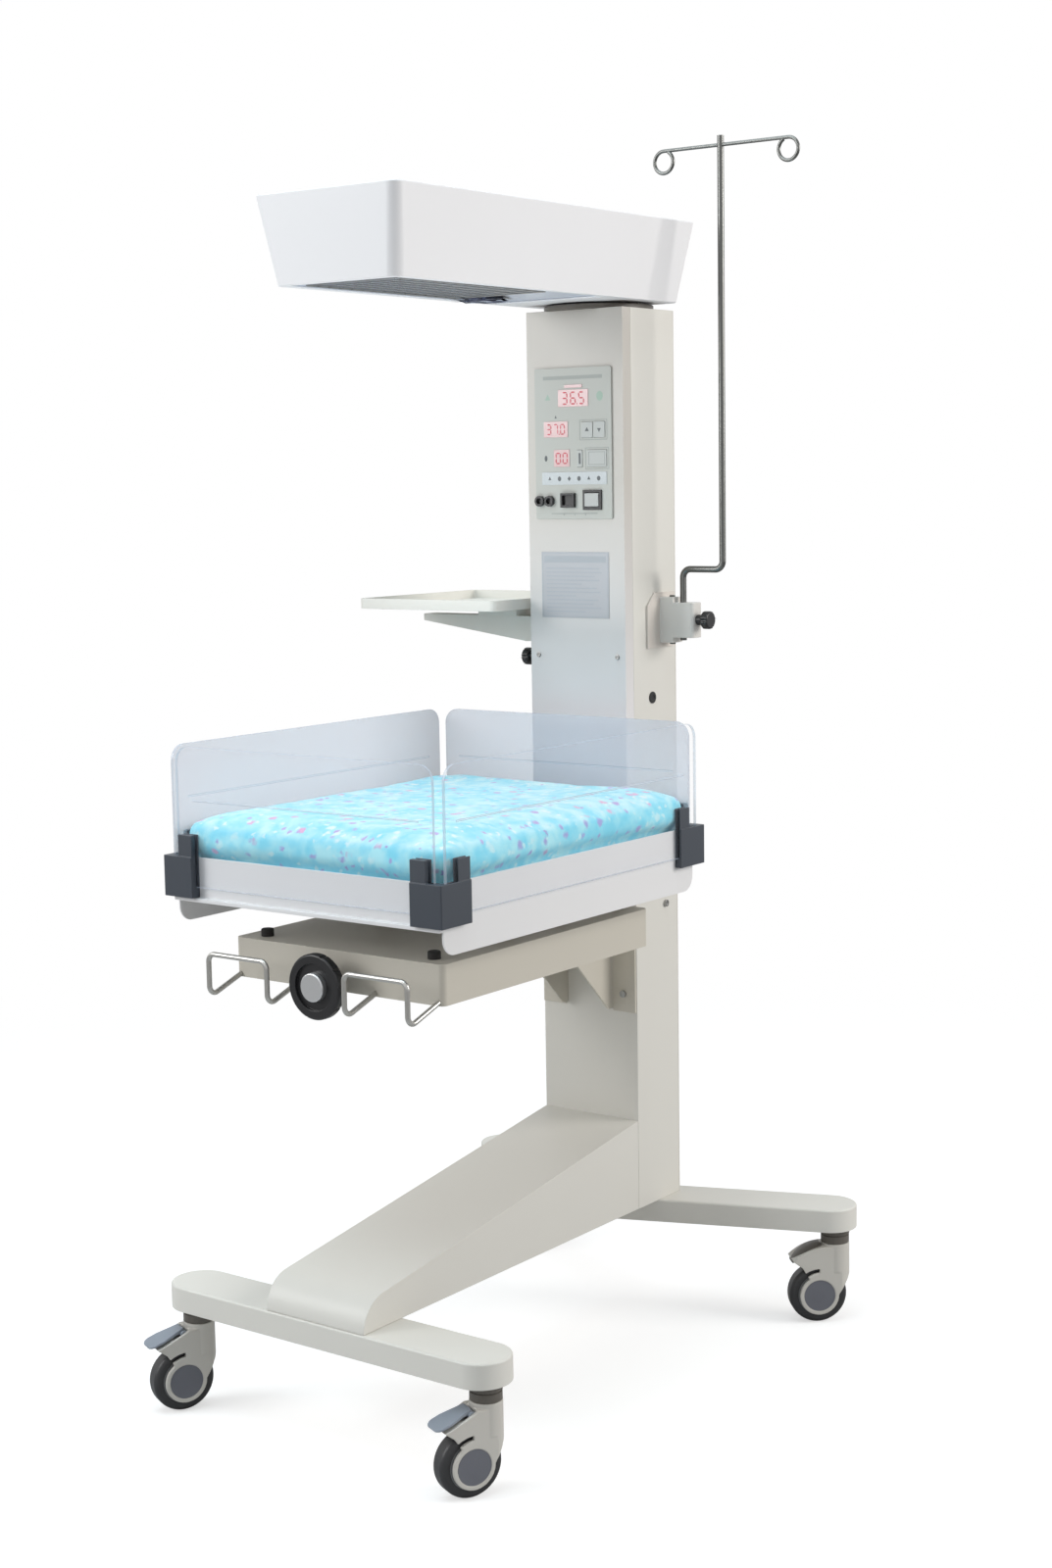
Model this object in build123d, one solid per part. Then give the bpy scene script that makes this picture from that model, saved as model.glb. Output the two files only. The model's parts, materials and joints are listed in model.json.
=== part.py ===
from build123d import *
import math
import os

os.makedirs("parts", exist_ok=True)

# Infant radiant warmer: a wheeled base, a column, a tilting bed with clear walls and a heated hood.
# X runs across, -Y is the front (the foot end of the bed) and Z is up from the floor.
# While modelling, Y is zero at the head end of the mattress; the last section moves the whole
# warmer so that its origin lies on the floor below the middle of its outer box.

# Shared clearances and sheet
run_fit = 0.05
gap = 0.3
overrun = 5.0
sheet = 2.5

# Mattress, which the bed is built round
mattress_half_width = 250.0
mattress_length = 640.0
mattress_thickness = 62.0
mattress_crown = 17.0
mattress_corner = 34.0
mattress_pull = 5.0
mattress_edge_inset = 12.0
mattress_crown_inset = 76.0
crown_step_share = 0.75

# Bed
bed_floor = 875.0
bed_wall = 3.0
mattress_side_gap = 6.0
mattress_end_gap = 2.0
bed_half_width = mattress_half_width + mattress_side_gap + bed_wall
bed_front = -(mattress_length + mattress_end_gap + bed_wall)
bed_back = mattress_end_gap + bed_wall
rim_rise = 21.0
bed_rim = bed_floor + rim_rise
bed_tray_depth = 47.0
bed_wall_bottom = bed_floor - bed_tray_depth
skirt_drop = 36.0
skirt_bottom = bed_wall_bottom - skirt_drop
skirt_corner = 25.0
lip_reach = 9.0
lip_depth = 6.0
tilt_rise = 4.0
tilt_z = skirt_bottom + tilt_rise
tilt_pin_radius = 6.0
lug_inner_x = 100.0
lug_thickness = 16.0
lug_radius = 13.0
lug_half_width = 20.0
ear_thickness = 8.0
ear_foot = 4.0
ear_foot_reach = 18.0
tilt_pin_tail = 4.0

# Corner brackets and clear walls
bracket_leg_x = 58.0
bracket_leg_y = 70.0
bracket_x_thickness = 12.0
bracket_y_thickness = 18.0
corner_rise = 7.0
corner_bottom = bed_wall_bottom + corner_rise
corner_over_rim = 2.0
corner_top = bed_rim + corner_over_rim
fin_height = 33.0
fin_top = corner_top + fin_height
fin_width = 28.0
corner_edge = 2.0
wall_sheet = 5.0
wall_standoff = 2.5
slot_floor = 15.0
wall_bottom = corner_bottom + slot_floor
wall_height = 215.0
wall_top = wall_bottom + wall_height
wall_corner = 25.0
wall_end_inset = 9.0
end_wall_half_width = bed_half_width - wall_end_inset
groove_below_top = 82.0
groove_half_width = 1.0
groove_depth = 0.8
groove_end_inset = 30.0

# Bed support arm, gussets, hooks and handwheel
arm_box_half_width = 205.0
arm_front_inset = 65.0
arm_box_front = bed_front + arm_front_inset
arm_back_inset = 50.0
arm_box_back = bed_back - arm_back_inset
arm_box_drop = 32.0
arm_box_top = tilt_z - arm_box_drop
arm_box_height = 62.0
arm_box_bottom = arm_box_top - arm_box_height
arm_box_corner = 10.0
arm_sheet = 3.0
neck_half_width = 60.0
gusset_x = 48.0
gusset_sheet = 4.0
gusset_drop = 146.0
gusset_bottom = arm_box_bottom - gusset_drop
gusset_toe = 16.0
flange_width = 48.0
flange_bolt_rise = 110.0
hook_wire = 4.0
hook_inner_x = 76.0
hook_side_inset = 10.0
hook_outer_x = arm_box_half_width - hook_side_inset
hook_reach = 70.0
hook_front = arm_box_front - hook_reach
hook_top_drop = 14.0
hook_top = arm_box_top - hook_top_drop
hook_root_rise = 5.0
hook_root_z = arm_box_bottom + hook_root_rise
hook_sag = 24.0
hook_low = hook_root_z - hook_sag
hook_bend = 12.0
wheel_centre_rise = 15.0
wheel_centre_z = arm_box_bottom + wheel_centre_rise
handwheel_radius = 50.0
handwheel_inner = 36.0
handwheel_depth = 16.0
handwheel_web = 6.0
handwheel_standoff = 36.0
handwheel_front = arm_box_front - handwheel_standoff - handwheel_depth
hub_cap_radius = 22.0
hub_cap_depth = 10.0
screw_shaft_radius = 8.0
screw_shaft_length = 180.0
screw_shaft_end = arm_box_front + screw_shaft_length
bush_radius = 14.0
bush_length = 17.0
spacer_radius = 12.0
grip_scallops = 10
scallop_radius = 3.0
buffer_radius = 10.0
buffer_height = 12.0
buffer_inset_x = 40.0
buffer_inset_y = 30.0

# Casters
wheel_radius = 50.0
wheel_width = 32.0
tyre_depth = 14.0
rim_radius = wheel_radius - tyre_depth
axle_radius = 5.0
caster_trail = 32.0
collar_radius = 25.0
collar_height = 27.5
collar_upper_height = 12.0
collar_step = 0.6
collar_groove = 2.0
stem_radius = 10.0
stem_into_bar = 30.0
stem_into_fork = 22.0
fork_headroom = 39.5
neck_height = 50.0
fork_wall = 6.0
wheel_side_gap = 2.0
wheel_top_gap = 5.0
boss_inset = 16.0
boss_radius = wheel_radius - boss_inset
boss_rim = 6.5
boss_cap_radius = boss_radius - boss_rim
boss_cap_depth = 1.5
fork_tip_reach = 46.0
fork_tip_rise = 62.0
braked_tip_rise = 59.0
fork_nape_drop = 3.5
braked_nape_drop = 7.5
fork_shoulder_reach = 33.0
fork_shoulder_drop = 13.0
braked_shoulder_reach = 27.5
braked_shoulder_drop = 20.5
fork_lip_inset = 16.0
fork_lip_drop = 12.0
slot_outer_radius = 47.5
slot_shift = 2.5
slot_setback = 2.0
knee_rise = 35.0
pedal_length = 58.0
pedal_width = 42.0
pedal_wide_share = 0.6
pedal_tip_corner = 12.0
pedal_root_thickness = 6.0
pedal_tip_thickness = 3.5
pedal_barrel_radius = 6.0
pedal_pin_radius = 2.5
pedal_pivot_drop = 14.5
pedal_crest = 4.0
pedal_root_half_width = 12.0
pedal_slope = 20
front_heading = -25.0
rear_right_heading = -47.0
rear_left_heading = 33.0

# Column
column_half_width = 97.5
column_front = 80.0
column_depth = 130.0
column_back = column_front + column_depth
column_top = 1736.0
cover_depth = 24.0
cover_front = column_front - cover_depth
cover_above_bed = 5.0
cover_bottom = bed_floor + cover_above_bed
mast_setback = 50.0
mast_y = column_front + mast_setback

# Base bars
bar_underside = 2 * wheel_radius + fork_headroom + collar_height
bar_depth = 40.0
bar_top = bar_underside + bar_depth
bar_edge = 4.0
bar_end_inset = 9.0
front_bar_radius = 47.5
front_stem_x = 288.0
front_stem_y = -605.0
rear_bar_radius = 46.5
rear_stem_x = 360.0
rear_stem_y = 296.0
rear_root_inset = 55.0
rear_root_y = column_back - rear_root_inset

# Ramp beam over the front bar
ramp_rise = 156.0
ramp_nose_radius = 54.0
ramp_nose_setback = 8.0
ramp_nose_y = front_stem_y + ramp_nose_setback

# Control panel on the front cover; places on it are shares of its width and height
panel_left = -80.0
panel_right = 76.0
panel_below_top = 95.0
panel_height = 250.0
panel_top = column_top - panel_below_top
panel_bottom = panel_top - panel_height
panel_thickness = 3.0
panel_corner = 3.0
window_thickness = 1.0
temperature_window_shares = (0.3141, 0.7051, 0.744, 0.856)
alarm_window_shares = (0.3974, 0.6282, 0.868, 0.888)
set_window_shares = (0.1218, 0.4359, 0.544, 0.648)
timer_window_shares = (0.25, 0.4551, 0.348, 0.46)
symbol_strip_shares = (0.0897, 0.9359, 0.228, 0.312)
mode_key_left_shares = (0.6154, 0.7596, 0.536, 0.64)
mode_key_right_shares = (0.7724, 0.9167, 0.536, 0.64)
step_key_shares = (0.5577, 0.6218, 0.344, 0.456)
timer_key_shares = (0.6859, 0.9359, 0.344, 0.456)
probe_centre_shares = (0.1282, 0.12)
data_socket_shares = (0.3462, 0.5256, 0.076, 0.172)
rocker_frame_shares = (0.6282, 0.8686, 0.06, 0.192)
key_travel = 0.8
key_rest_height = 1.2
key_corner = 1.5
probe_pitch = 20.0
probe_radius = 9.0
probe_bore_radius = 5.0
probe_height = 6.5
data_socket_height = 6.0
data_socket_wall = 4.0
data_socket_recess = 5.0
rocker_frame_rim = 4.5
rocker_frame_height = 3.0
rocker_neck_wall = 1.5
rocker_neck_depth = 6.0
rocker_pin_radius = 1.5
rocker_proud = 1.5
rocker_depth = 8.5
rocker_end_gap = 0.9
plate_left = -72.0
plate_right = 66.0
plate_below_panel = 55.0
plate_height = 111.0
plate_top = panel_bottom - plate_below_panel
plate_bottom = plate_top - plate_height
plate_thickness = 0.8

# Small fasteners and plugs on the column
plug_radius = 10.0
plug_thickness = 1.5
plug_inset = 75.0
plug_above_bed = 213.0
side_bolt_radius = 6.0
side_bolt_inset = 40.0
side_bolt_rise = 27.0
screw_radius = 4.0
screw_height = 2.0
cover_screw_x = 81.0
cover_screw_share = 0.8145
back_screw_inset = 12.0
back_screw_rows = 4

# Mains inlet on the back
inlet_half_width = 24.0
inlet_height = 36.0
inlet_depth = 8.0
inlet_wall = 4.0
inlet_z = 300.0
inlet_pin_radius = 2.5

# Turntable and hood
turntable_radius = 92.0
turntable_thickness = 8.0
spindle_radius = 15.0
spindle_flange_radius = 30.0
spindle_flange_depth = 3.0
spindle_collar_radius = 22.0
spindle_collar_thickness = 8.0
spindle_drop = 46.0
hood_bottom = column_top + turntable_thickness + spindle_flange_depth
hood_height = 132.0
hood_top = hood_bottom + hood_height
hood_foot_setback = 73.0
hood_top_front = -(mattress_length - hood_foot_setback)
hood_front_taper = 21.0
hood_bottom_front = hood_top_front + hood_front_taper
hood_back_reach = 93.0
hood_top_back = mast_y + hood_back_reach
hood_back_taper = 24.0
hood_bottom_back = hood_top_back - hood_back_taper
hood_top_half_width = 139.5
hood_side_taper = 20.5
hood_bottom_half_width = hood_top_half_width - hood_side_taper
hood_corner = 12.0
hood_edge = 2.0
hood_wall = 3.0
hood_lip = 10.0
bulkhead_y = 0.0
reflector_sheet = 1.5
reflector_side_inset = 34.0
reflector_half_width = hood_bottom_half_width - reflector_side_inset
reflector_flare = 40.0
reflector_roof_half_width = reflector_half_width - reflector_flare
reflector_height = 83.0
reflector_front_inset = 46.0
reflector_front = hood_bottom_front + reflector_front_inset
reflector_back_inset = 150.0
reflector_back = bulkhead_y - reflector_back_inset
heater_radius = 6.0
heater_height = 38.0
heater_block = 12.0
guard_wire = 2.5
guard_bars = 15
lamp_side_inset = 59.0
lamp_x = -(hood_bottom_half_width - lamp_side_inset)
lamp_width = 40.0
lamp_length = 56.0
lamp_depth = 7.0
lamp_setback = 42.0
lamp_y = reflector_back + lamp_setback
lamp_corner = 5.0

# Drip pole and its bracket on the right side
pole_radius = 5.5
pole_offset = 41.5
pole_x = column_half_width + pole_offset
pole_inset = 40.0
pole_y = column_back - pole_inset
pole_clamp_above_bed = 344.0
knob_z = bed_floor + pole_clamp_above_bed
clamp_width = 66.0
clamp_half_depth = 15.0
clamp_below_knob = 30.0
clamp_above_knob = 29.0
clamp_bottom = knob_z - clamp_below_knob
clamp_top = knob_z + clamp_above_knob
clamp_edge = 3.0
clamp_corner = 7.0
clamp_bolt_offset = 22.0
clamp_bolt_radius = 5.0
clamp_bolt_head = 3.0
bracket_plate = 4.0
bracket_margin = 17.0
bracket_bottom = clamp_bottom - bracket_margin
bracket_top = clamp_top + bracket_margin
bracket_front_reach = 52.0
bracket_back_reach = 30.0
bracket_front = pole_y - bracket_front_reach
bracket_back = pole_y + bracket_back_reach
bracket_chamfer = 22.0
clamp_foot_width = 26.0
clamp_foot_margin = 8.0
pole_tail = 5.0
pole_bottom = clamp_bottom - pole_tail
jog_rise = 56.0
pole_jog_z = clamp_top + jog_rise
jog_reach = 78.0
pole_jog_x = pole_x + jog_reach
pole_bend = 14.0
pole_over_hood = 129.0
pole_top = hood_top + pole_over_hood
crossbar_drop = 15.0
crossbar_z = pole_top - crossbar_drop
crossbar_radius = 3.0
loop_radius = 18.0
loop_left_reach = 110.0
loop_right_reach = 127.0
loop_turn = 330
stud_radius = 4.0
knob_neck_radius = 9.0
knob_neck = 12.0
knob_radius = 15.0
knob_head = 14.0
knob_lobes = 6
lobe_radius = 3.5

# Shelf on the left side
shelf_clamp_above_bed = 276.0
shelf_knob_z = bed_floor + shelf_clamp_above_bed
shelf_clamp_width = 36.0
shelf_clamp_half_depth = 20.0
shelf_clamp_below_knob = 26.0
shelf_clamp_above_knob = 27.0
shelf_clamp_bottom = shelf_knob_z - shelf_clamp_below_knob
shelf_clamp_top = shelf_knob_z + shelf_clamp_above_knob
shelf_plate_half_depth = 32.0
shelf_plate_foot = 10.0
shelf_plate_head = 17.0
shelf_post_radius = 8.0
shelf_post_offset = 18.0
arm_root_gap = 8.5
arm_root_x = -(column_half_width + arm_root_gap)
arm_length = 272.0
arm_tip_x = arm_root_x - arm_length
arm_depth = 44.0
arm_top = shelf_clamp_top + arm_depth
arm_tip_depth = 12.0
arm_tip_bottom = arm_top - arm_tip_depth
arm_root_run = 44.0
arm_half_depth = 18.0
saddle_near = 59.0
saddle_far = 143.0
saddle_height = 16.0
saddle_half_depth = 25.0
shelf_tray_length = 298.0
shelf_tray_depth = 18.0
shelf_tray_half_width = 166.0
tray_floor_z = arm_top + saddle_height
tray_rim_z = tray_floor_z + shelf_tray_depth
tray_right = arm_root_x
tray_left = tray_right - shelf_tray_length
tray_front = mast_y - shelf_tray_half_width
tray_back = mast_y + shelf_tray_half_width
tray_corner = 10.0
tray_sheet = 2.0
notch_offset = 35.0
notch_width = 44.0
notch_depth = 9.0

parts = {}


def block(x0, x1, y0, y1, z0, z1):
    """A box between two opposite corners."""
    size = Box(x1 - x0, y1 - y0, z1 - z0)
    return Pos((x0 + x1) / 2, (y0 + y1) / 2, (z0 + z1) / 2) * size


def drum_z(radius, x, y, z0, z1):
    """An upright cylinder."""
    return Pos(x, y, (z0 + z1) / 2) * Cylinder(radius, z1 - z0)


def drum_x(radius, x0, x1, y, z):
    """A cylinder along X."""
    return Pos((x0 + x1) / 2, y, z) * Rot(0, 90, 0) * Cylinder(radius, x1 - x0)


def drum_y(radius, x, y0, y1, z):
    """A cylinder along Y."""
    return Pos(x, (y0 + y1) / 2, z) * Rot(90, 0, 0) * Cylinder(radius, y1 - y0)


def prism_x(outline, x0, x1):
    """A closed outline of (y, z) points, carried from x0 to x1."""
    face = make_face(Polyline(*outline, close=True))
    return extrude(Plane.YZ.offset(x0) * face, amount=x1 - x0, dir=(1, 0, 0))


def prism_y(outline, y0, y1):
    """A closed outline of (x, z) points, carried from y0 to y1."""
    face = make_face(Polyline(*[(x, -z) for x, z in outline], close=True))
    plane = Plane(origin=(0, y0, 0), x_dir=(1, 0, 0), z_dir=(0, 1, 0))
    return extrude(plane * face, amount=y1 - y0, dir=(0, 1, 0))


def mirrored(shape):
    """The same piece on the other side of the warmer."""
    return mirror(shape, about=Plane.YZ)


def pair(shape):
    """Left and right copies as separate solids."""
    return Compound(children=[*shape.solids(), *mirrored(shape).solids()])


def edges_at_z(shape, z):
    """Edges that lie flat at one height."""
    level = []
    for edge in shape.edges():
        box = edge.bounding_box()
        if abs(box.min.Z - z) < gap / 100 and abs(box.max.Z - z) < gap / 100:
            level.append(edge)
    return level


def upright_edges(shape):
    """Edges that run along Z."""
    return shape.edges().filter_by(Axis.Z)


# Base bars
def make_front_bar():
    outline = SlotCenterToCenter(2 * (front_stem_x - bar_end_inset), 2 * front_bar_radius)
    bar = extrude(Pos(0, front_stem_y, bar_underside) * outline, amount=bar_depth)
    bar = fillet(edges_at_z(bar, bar_top), bar_edge)
    for side in (-1, 1):
        hole_top = bar_underside + stem_into_bar
        bar -= drum_z(stem_radius, side * front_stem_x, front_stem_y, bar_underside - overrun, hole_top)
    return bar


def make_rear_leg_bar():
    run = math.hypot(rear_stem_x, rear_stem_y - rear_root_y) - bar_end_inset
    swing = math.degrees(math.atan2(rear_stem_y - rear_root_y, rear_stem_x))
    leg = Pos(run / 2, 0) * SlotCenterToCenter(run, 2 * rear_bar_radius)
    right = Pos(0, rear_root_y) * Rot(0, 0, swing) * leg
    left = Pos(0, rear_root_y) * Rot(0, 0, 180 - swing) * leg
    bar = extrude(Pos(0, 0, bar_underside) * (right + left), amount=bar_depth)
    bar = fillet(edges_at_z(bar, bar_top), bar_edge)
    for side in (-1, 1):
        hole_top = bar_underside + stem_into_bar
        bar -= drum_z(stem_radius, side * rear_stem_x, rear_stem_y, bar_underside - overrun, hole_top)
    return bar


def ramp_profile(inset):
    """The side outline of the ramp: flat underneath, a straight slope and a round nose."""
    radius = ramp_nose_radius - inset
    floor = bar_top + inset
    run = column_front - ramp_nose_y
    rise = ramp_rise
    slope = math.atan2(rise, run) - math.asin(ramp_nose_radius / math.hypot(run, rise))
    tangent = (ramp_nose_y - radius * math.sin(slope), bar_top + radius * math.cos(slope))
    crown = (bar_top + ramp_rise) - inset / math.cos(slope)
    start_angle = math.asin(inset / radius)
    start = (ramp_nose_y - radius * math.cos(start_angle), floor)
    mid_angle = (math.pi / 2 + slope + start_angle) / 2 - slope
    middle = (ramp_nose_y - radius * math.cos(mid_angle), bar_top + radius * math.sin(mid_angle))
    nose = ThreePointArc(start, middle, tangent)
    sides = Polyline(tangent, (column_front, crown), (column_front, floor), start)
    return make_face(nose + sides)


def make_ramp_beam():
    outer = extrude(
        Plane.YZ.offset(-column_half_width) * ramp_profile(0), amount=2 * column_half_width, dir=(1, 0, 0)
    )
    inner_width = column_half_width - arm_sheet
    inner = extrude(
        Plane.YZ.offset(-inner_width) * ramp_profile(arm_sheet), amount=2 * inner_width, dir=(1, 0, 0)
    )
    return outer - inner


parts["front_bar"] = make_front_bar()
parts["rear_leg_bar"] = make_rear_leg_bar()
parts["ramp_beam"] = make_ramp_beam()


# Casters
caster_places = {
    "front_left": (-front_stem_x, front_stem_y, front_heading),
    "front_right": (front_stem_x, front_stem_y, front_heading),
    "rear_left": (-rear_stem_x, rear_stem_y, rear_left_heading),
    "rear_right": (rear_stem_x, rear_stem_y, rear_right_heading),
}
fork_top = bar_underside - collar_height
fork_half_width = wheel_width / 2 + wheel_side_gap + fork_wall
guard_radius = wheel_radius + wheel_top_gap
tip_y = -(caster_trail + fork_tip_reach)
pedal_y = -(collar_radius + pedal_barrel_radius)
pedal_z = fork_top - pedal_pivot_drop


def make_collars():
    solids = []
    for x, y, heading in caster_places.values():
        race_low = bar_underside - collar_upper_height
        collar = drum_z(collar_radius, x, y, race_low, bar_underside)
        collar += drum_z(collar_radius - collar_step - collar_groove, x, y, race_low - collar_groove, race_low)
        collar += drum_z(collar_radius - collar_step, x, y, fork_top + gap, race_low - collar_groove)
        stem_low = fork_top - stem_into_fork
        collar += drum_z(stem_radius, x, y, stem_low, bar_underside + stem_into_bar)
        solids.append(collar.solid())
    return Compound(children=solids)


def fork_profile(braked):
    """Side outline of the fork cowl: a neck, a rounded back that sweeps out over the tyre and a boss."""
    nape_drop = braked_nape_drop if braked else fork_nape_drop
    shoulder_reach = braked_shoulder_reach if braked else fork_shoulder_reach
    shoulder_drop = braked_shoulder_drop if braked else fork_shoulder_drop
    tip_z = wheel_radius + (braked_tip_rise if braked else fork_tip_rise)
    nape = (-collar_radius, fork_top - nape_drop)
    throat = (collar_radius, fork_top - nape_drop)
    shoulder = (-(collar_radius + shoulder_reach), fork_top - shoulder_drop)
    tip = (tip_y, tip_z)
    lip = (tip_y + fork_lip_inset, tip_z - fork_lip_drop)
    front_low = (-caster_trail + boss_radius, wheel_radius)
    knee = (collar_radius, wheel_radius + knee_rise)
    back = ThreePointArc(nape, shoulder, tip)
    rest = Polyline(tip, lip, (-caster_trail, wheel_radius), front_low, knee, throat, nape)
    cowl = make_face(back + rest)
    boss = Pos(-caster_trail, wheel_radius) * Circle(boss_radius)
    slot_outer = Circle(slot_outer_radius)
    slot_inner = Pos(slot_shift, slot_shift) * Circle(boss_radius + slot_setback + slot_shift)
    quarter = Pos(-guard_radius, guard_radius / 2) * Rectangle(2 * guard_radius, 3 * guard_radius)
    slot = Pos(-caster_trail, wheel_radius) * ((slot_outer - slot_inner) & quarter)
    return (cowl - slot) + boss


def make_fork(braked):
    profile = fork_profile(braked)
    body = extrude(
        Plane.YZ.offset(-fork_half_width) * profile, amount=2 * fork_half_width, dir=(1, 0, 0)
    )
    leading = block(-2 * collar_radius, 2 * collar_radius, 0, 2 * collar_radius, 0, fork_top + overrun)
    leading -= drum_z(collar_radius, 0, 0, 0, fork_top + overrun)
    body -= leading
    body += drum_z(collar_radius, 0, 0, fork_top - neck_height, fork_top)
    wheel_space = wheel_width / 2 + wheel_side_gap
    body -= drum_x(guard_radius, -wheel_space, wheel_space, -caster_trail, wheel_radius)
    body -= drum_z(stem_radius + run_fit, 0, 0, fork_top - stem_into_fork - gap, fork_top + overrun)
    for side in (-1, 1):
        face = side * fork_half_width
        cap = side * (fork_half_width - boss_cap_depth)
        low, high = sorted((cap, face + side * overrun))
        body -= drum_x(boss_cap_radius, low, high, -caster_trail, wheel_radius)
    body += drum_x(axle_radius, -fork_half_width + boss_cap_depth,
                   fork_half_width - boss_cap_depth, -caster_trail, wheel_radius)
    return body


def make_pedal_seat(body):
    """Cut the trough that the pedal's barrel turns in, and leave its pin across it."""
    cheek = fork_half_width - fork_wall
    reach = pedal_barrel_radius + gap
    body -= drum_x(reach, -cheek - gap, cheek + gap, pedal_y, pedal_z)
    trough_end = pedal_y - 3 * reach
    body -= block(-cheek - gap, cheek + gap, trough_end, pedal_y, pedal_z - reach, fork_top + overrun)
    neck = block(-cheek - gap, cheek + gap, pedal_y, pedal_y + reach, pedal_z, fork_top + overrun)
    body -= neck
    body += drum_x(pedal_pin_radius, -cheek - gap, cheek + gap, pedal_y, pedal_z)
    return body


def make_pedal():
    cheek = fork_half_width - fork_wall
    barrel = drum_x(pedal_barrel_radius, -cheek, cheek, pedal_y, pedal_z)
    slope = math.tan(math.radians(pedal_slope))
    tip = pedal_y - pedal_length
    top_root = pedal_z + pedal_barrel_radius
    blade_start = pedal_y - 2 * pedal_barrel_radius
    start_drop = slope * (pedal_y - blade_start)
    tip_drop = slope * pedal_length
    crest = top_root + pedal_crest
    side_outline = [
        (pedal_y, crest),
        (pedal_y, pedal_z),
        (blade_start, crest - start_drop - pedal_root_thickness),
        (tip, crest - tip_drop - pedal_tip_thickness),
        (tip, crest - tip_drop),
    ]
    wide_y = pedal_y - pedal_wide_share * pedal_length
    half_width = pedal_width / 2
    plan = make_face(Polyline(
        (-pedal_root_half_width, pedal_y),
        (pedal_root_half_width, pedal_y),
        (half_width, wide_y),
        (half_width, tip),
        (-half_width, tip),
        (-half_width, wide_y),
        close=True,
    ))
    plan = fillet(plan.vertices().sort_by(Axis.Y)[:2], pedal_tip_corner)
    blade = prism_x(side_outline, -half_width, half_width) & extrude(plan, amount=bar_top)
    pedal = barrel + blade
    return pedal - drum_x(pedal_pin_radius + run_fit, -pedal_width, pedal_width, pedal_y, pedal_z)


def make_tyre():
    tyre = drum_x(wheel_radius, -wheel_width / 2, wheel_width / 2, -caster_trail, wheel_radius)
    rounded = fillet(tyre.edges().filter_by(GeomType.CIRCLE), wheel_width / 4)
    return rounded - drum_x(rim_radius, -wheel_width, wheel_width, -caster_trail, wheel_radius)


def make_hub():
    hub = drum_x(rim_radius, -wheel_width / 2, wheel_width / 2, -caster_trail, wheel_radius)
    return hub - drum_x(axle_radius + run_fit, -wheel_width, wheel_width, -caster_trail, wheel_radius)


parts["caster_collars"] = make_collars()
plain_fork = make_fork(False)
braked_fork = make_pedal_seat(make_fork(True))
caster_pieces = {"tyre": make_tyre(), "hub": make_hub()}
for corner, (stem_x, stem_y, heading) in caster_places.items():
    place = Pos(stem_x, stem_y, 0) * Rot(0, 0, heading)
    braked = corner.startswith("front")
    parts["caster_fork_" + corner] = place * (braked_fork if braked else plain_fork)
    for piece, shape in caster_pieces.items():
        parts["caster_" + piece + "_" + corner] = place * shape
    if braked:
        parts["brake_pedal_" + corner] = place * make_pedal()


# Column
def make_column_shell():
    wall_back = column_back - sheet
    outer = block(-column_half_width, column_half_width, column_front, wall_back, bar_top, column_top)
    inside = column_half_width - sheet
    inner = block(-inside, inside, column_front + sheet, column_back + overrun,
                  bar_top + sheet, column_top - sheet)
    shell = outer - inner
    return shell - drum_z(spindle_radius + gap, 0, mast_y, column_top - 2 * sheet, column_top + overrun)


def make_front_cover():
    outer = block(-column_half_width, column_half_width, cover_front, column_front, cover_bottom, column_top)
    inside = column_half_width - sheet
    inner = block(-inside, inside, cover_front + sheet, column_front + overrun,
                  cover_bottom + sheet, column_top - sheet)
    return outer - inner


def on_panel(shares):
    """The rectangle that four shares of the panel's width and height stand for."""
    x0, x1, z0, z1 = shares
    width = panel_right - panel_left
    return (panel_left + width * x0, panel_left + width * x1,
            panel_bottom + panel_height * z0, panel_bottom + panel_height * z1)


def rocker_opening():
    x0, x1, z0, z1 = on_panel(rocker_frame_shares)
    grow = rocker_frame_rim - rocker_neck_wall
    return x0 + grow, x1 - grow, z0 + grow, z1 - grow


def make_back_cover():
    back = column_back - sheet
    return block(-column_half_width, column_half_width, back, column_back, bar_top, column_top)


panel_front = cover_front - panel_thickness


def panel_hole(rectangle, clearance):
    x0, x1, z0, z1 = rectangle
    return block(x0 - clearance, x1 + clearance, panel_front - overrun, cover_front,
                 z0 - clearance, z1 + clearance)


def make_control_panel():
    panel = block(panel_left, panel_right, panel_front, cover_front, panel_bottom, panel_top)
    panel = fillet(panel.edges().filter_by(Axis.Y), panel_corner)
    for shares in (mode_key_left_shares, mode_key_right_shares, step_key_shares, timer_key_shares):
        panel -= panel_hole(on_panel(shares), gap)
    return panel - panel_hole(rocker_opening(), 0)


def make_windows():
    solids = []
    for shares in (temperature_window_shares, alarm_window_shares, set_window_shares,
                   timer_window_shares, symbol_strip_shares):
        x0, x1, z0, z1 = on_panel(shares)
        solids.append(block(x0, x1, panel_front - window_thickness, panel_front, z0, z1).solid())
    return Compound(children=solids)


def make_key(shares):
    x0, x1, z0, z1 = on_panel(shares)
    top = panel_front - key_rest_height
    foot = cover_front - key_travel - gap
    key = block(x0, x1, top, foot, z0, z1)
    return fillet(key.edges().filter_by(Axis.Y), key_corner)


def rocker_axis_y():
    return panel_front - rocker_frame_height - rocker_proud + rocker_depth * 2 / 3


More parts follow.
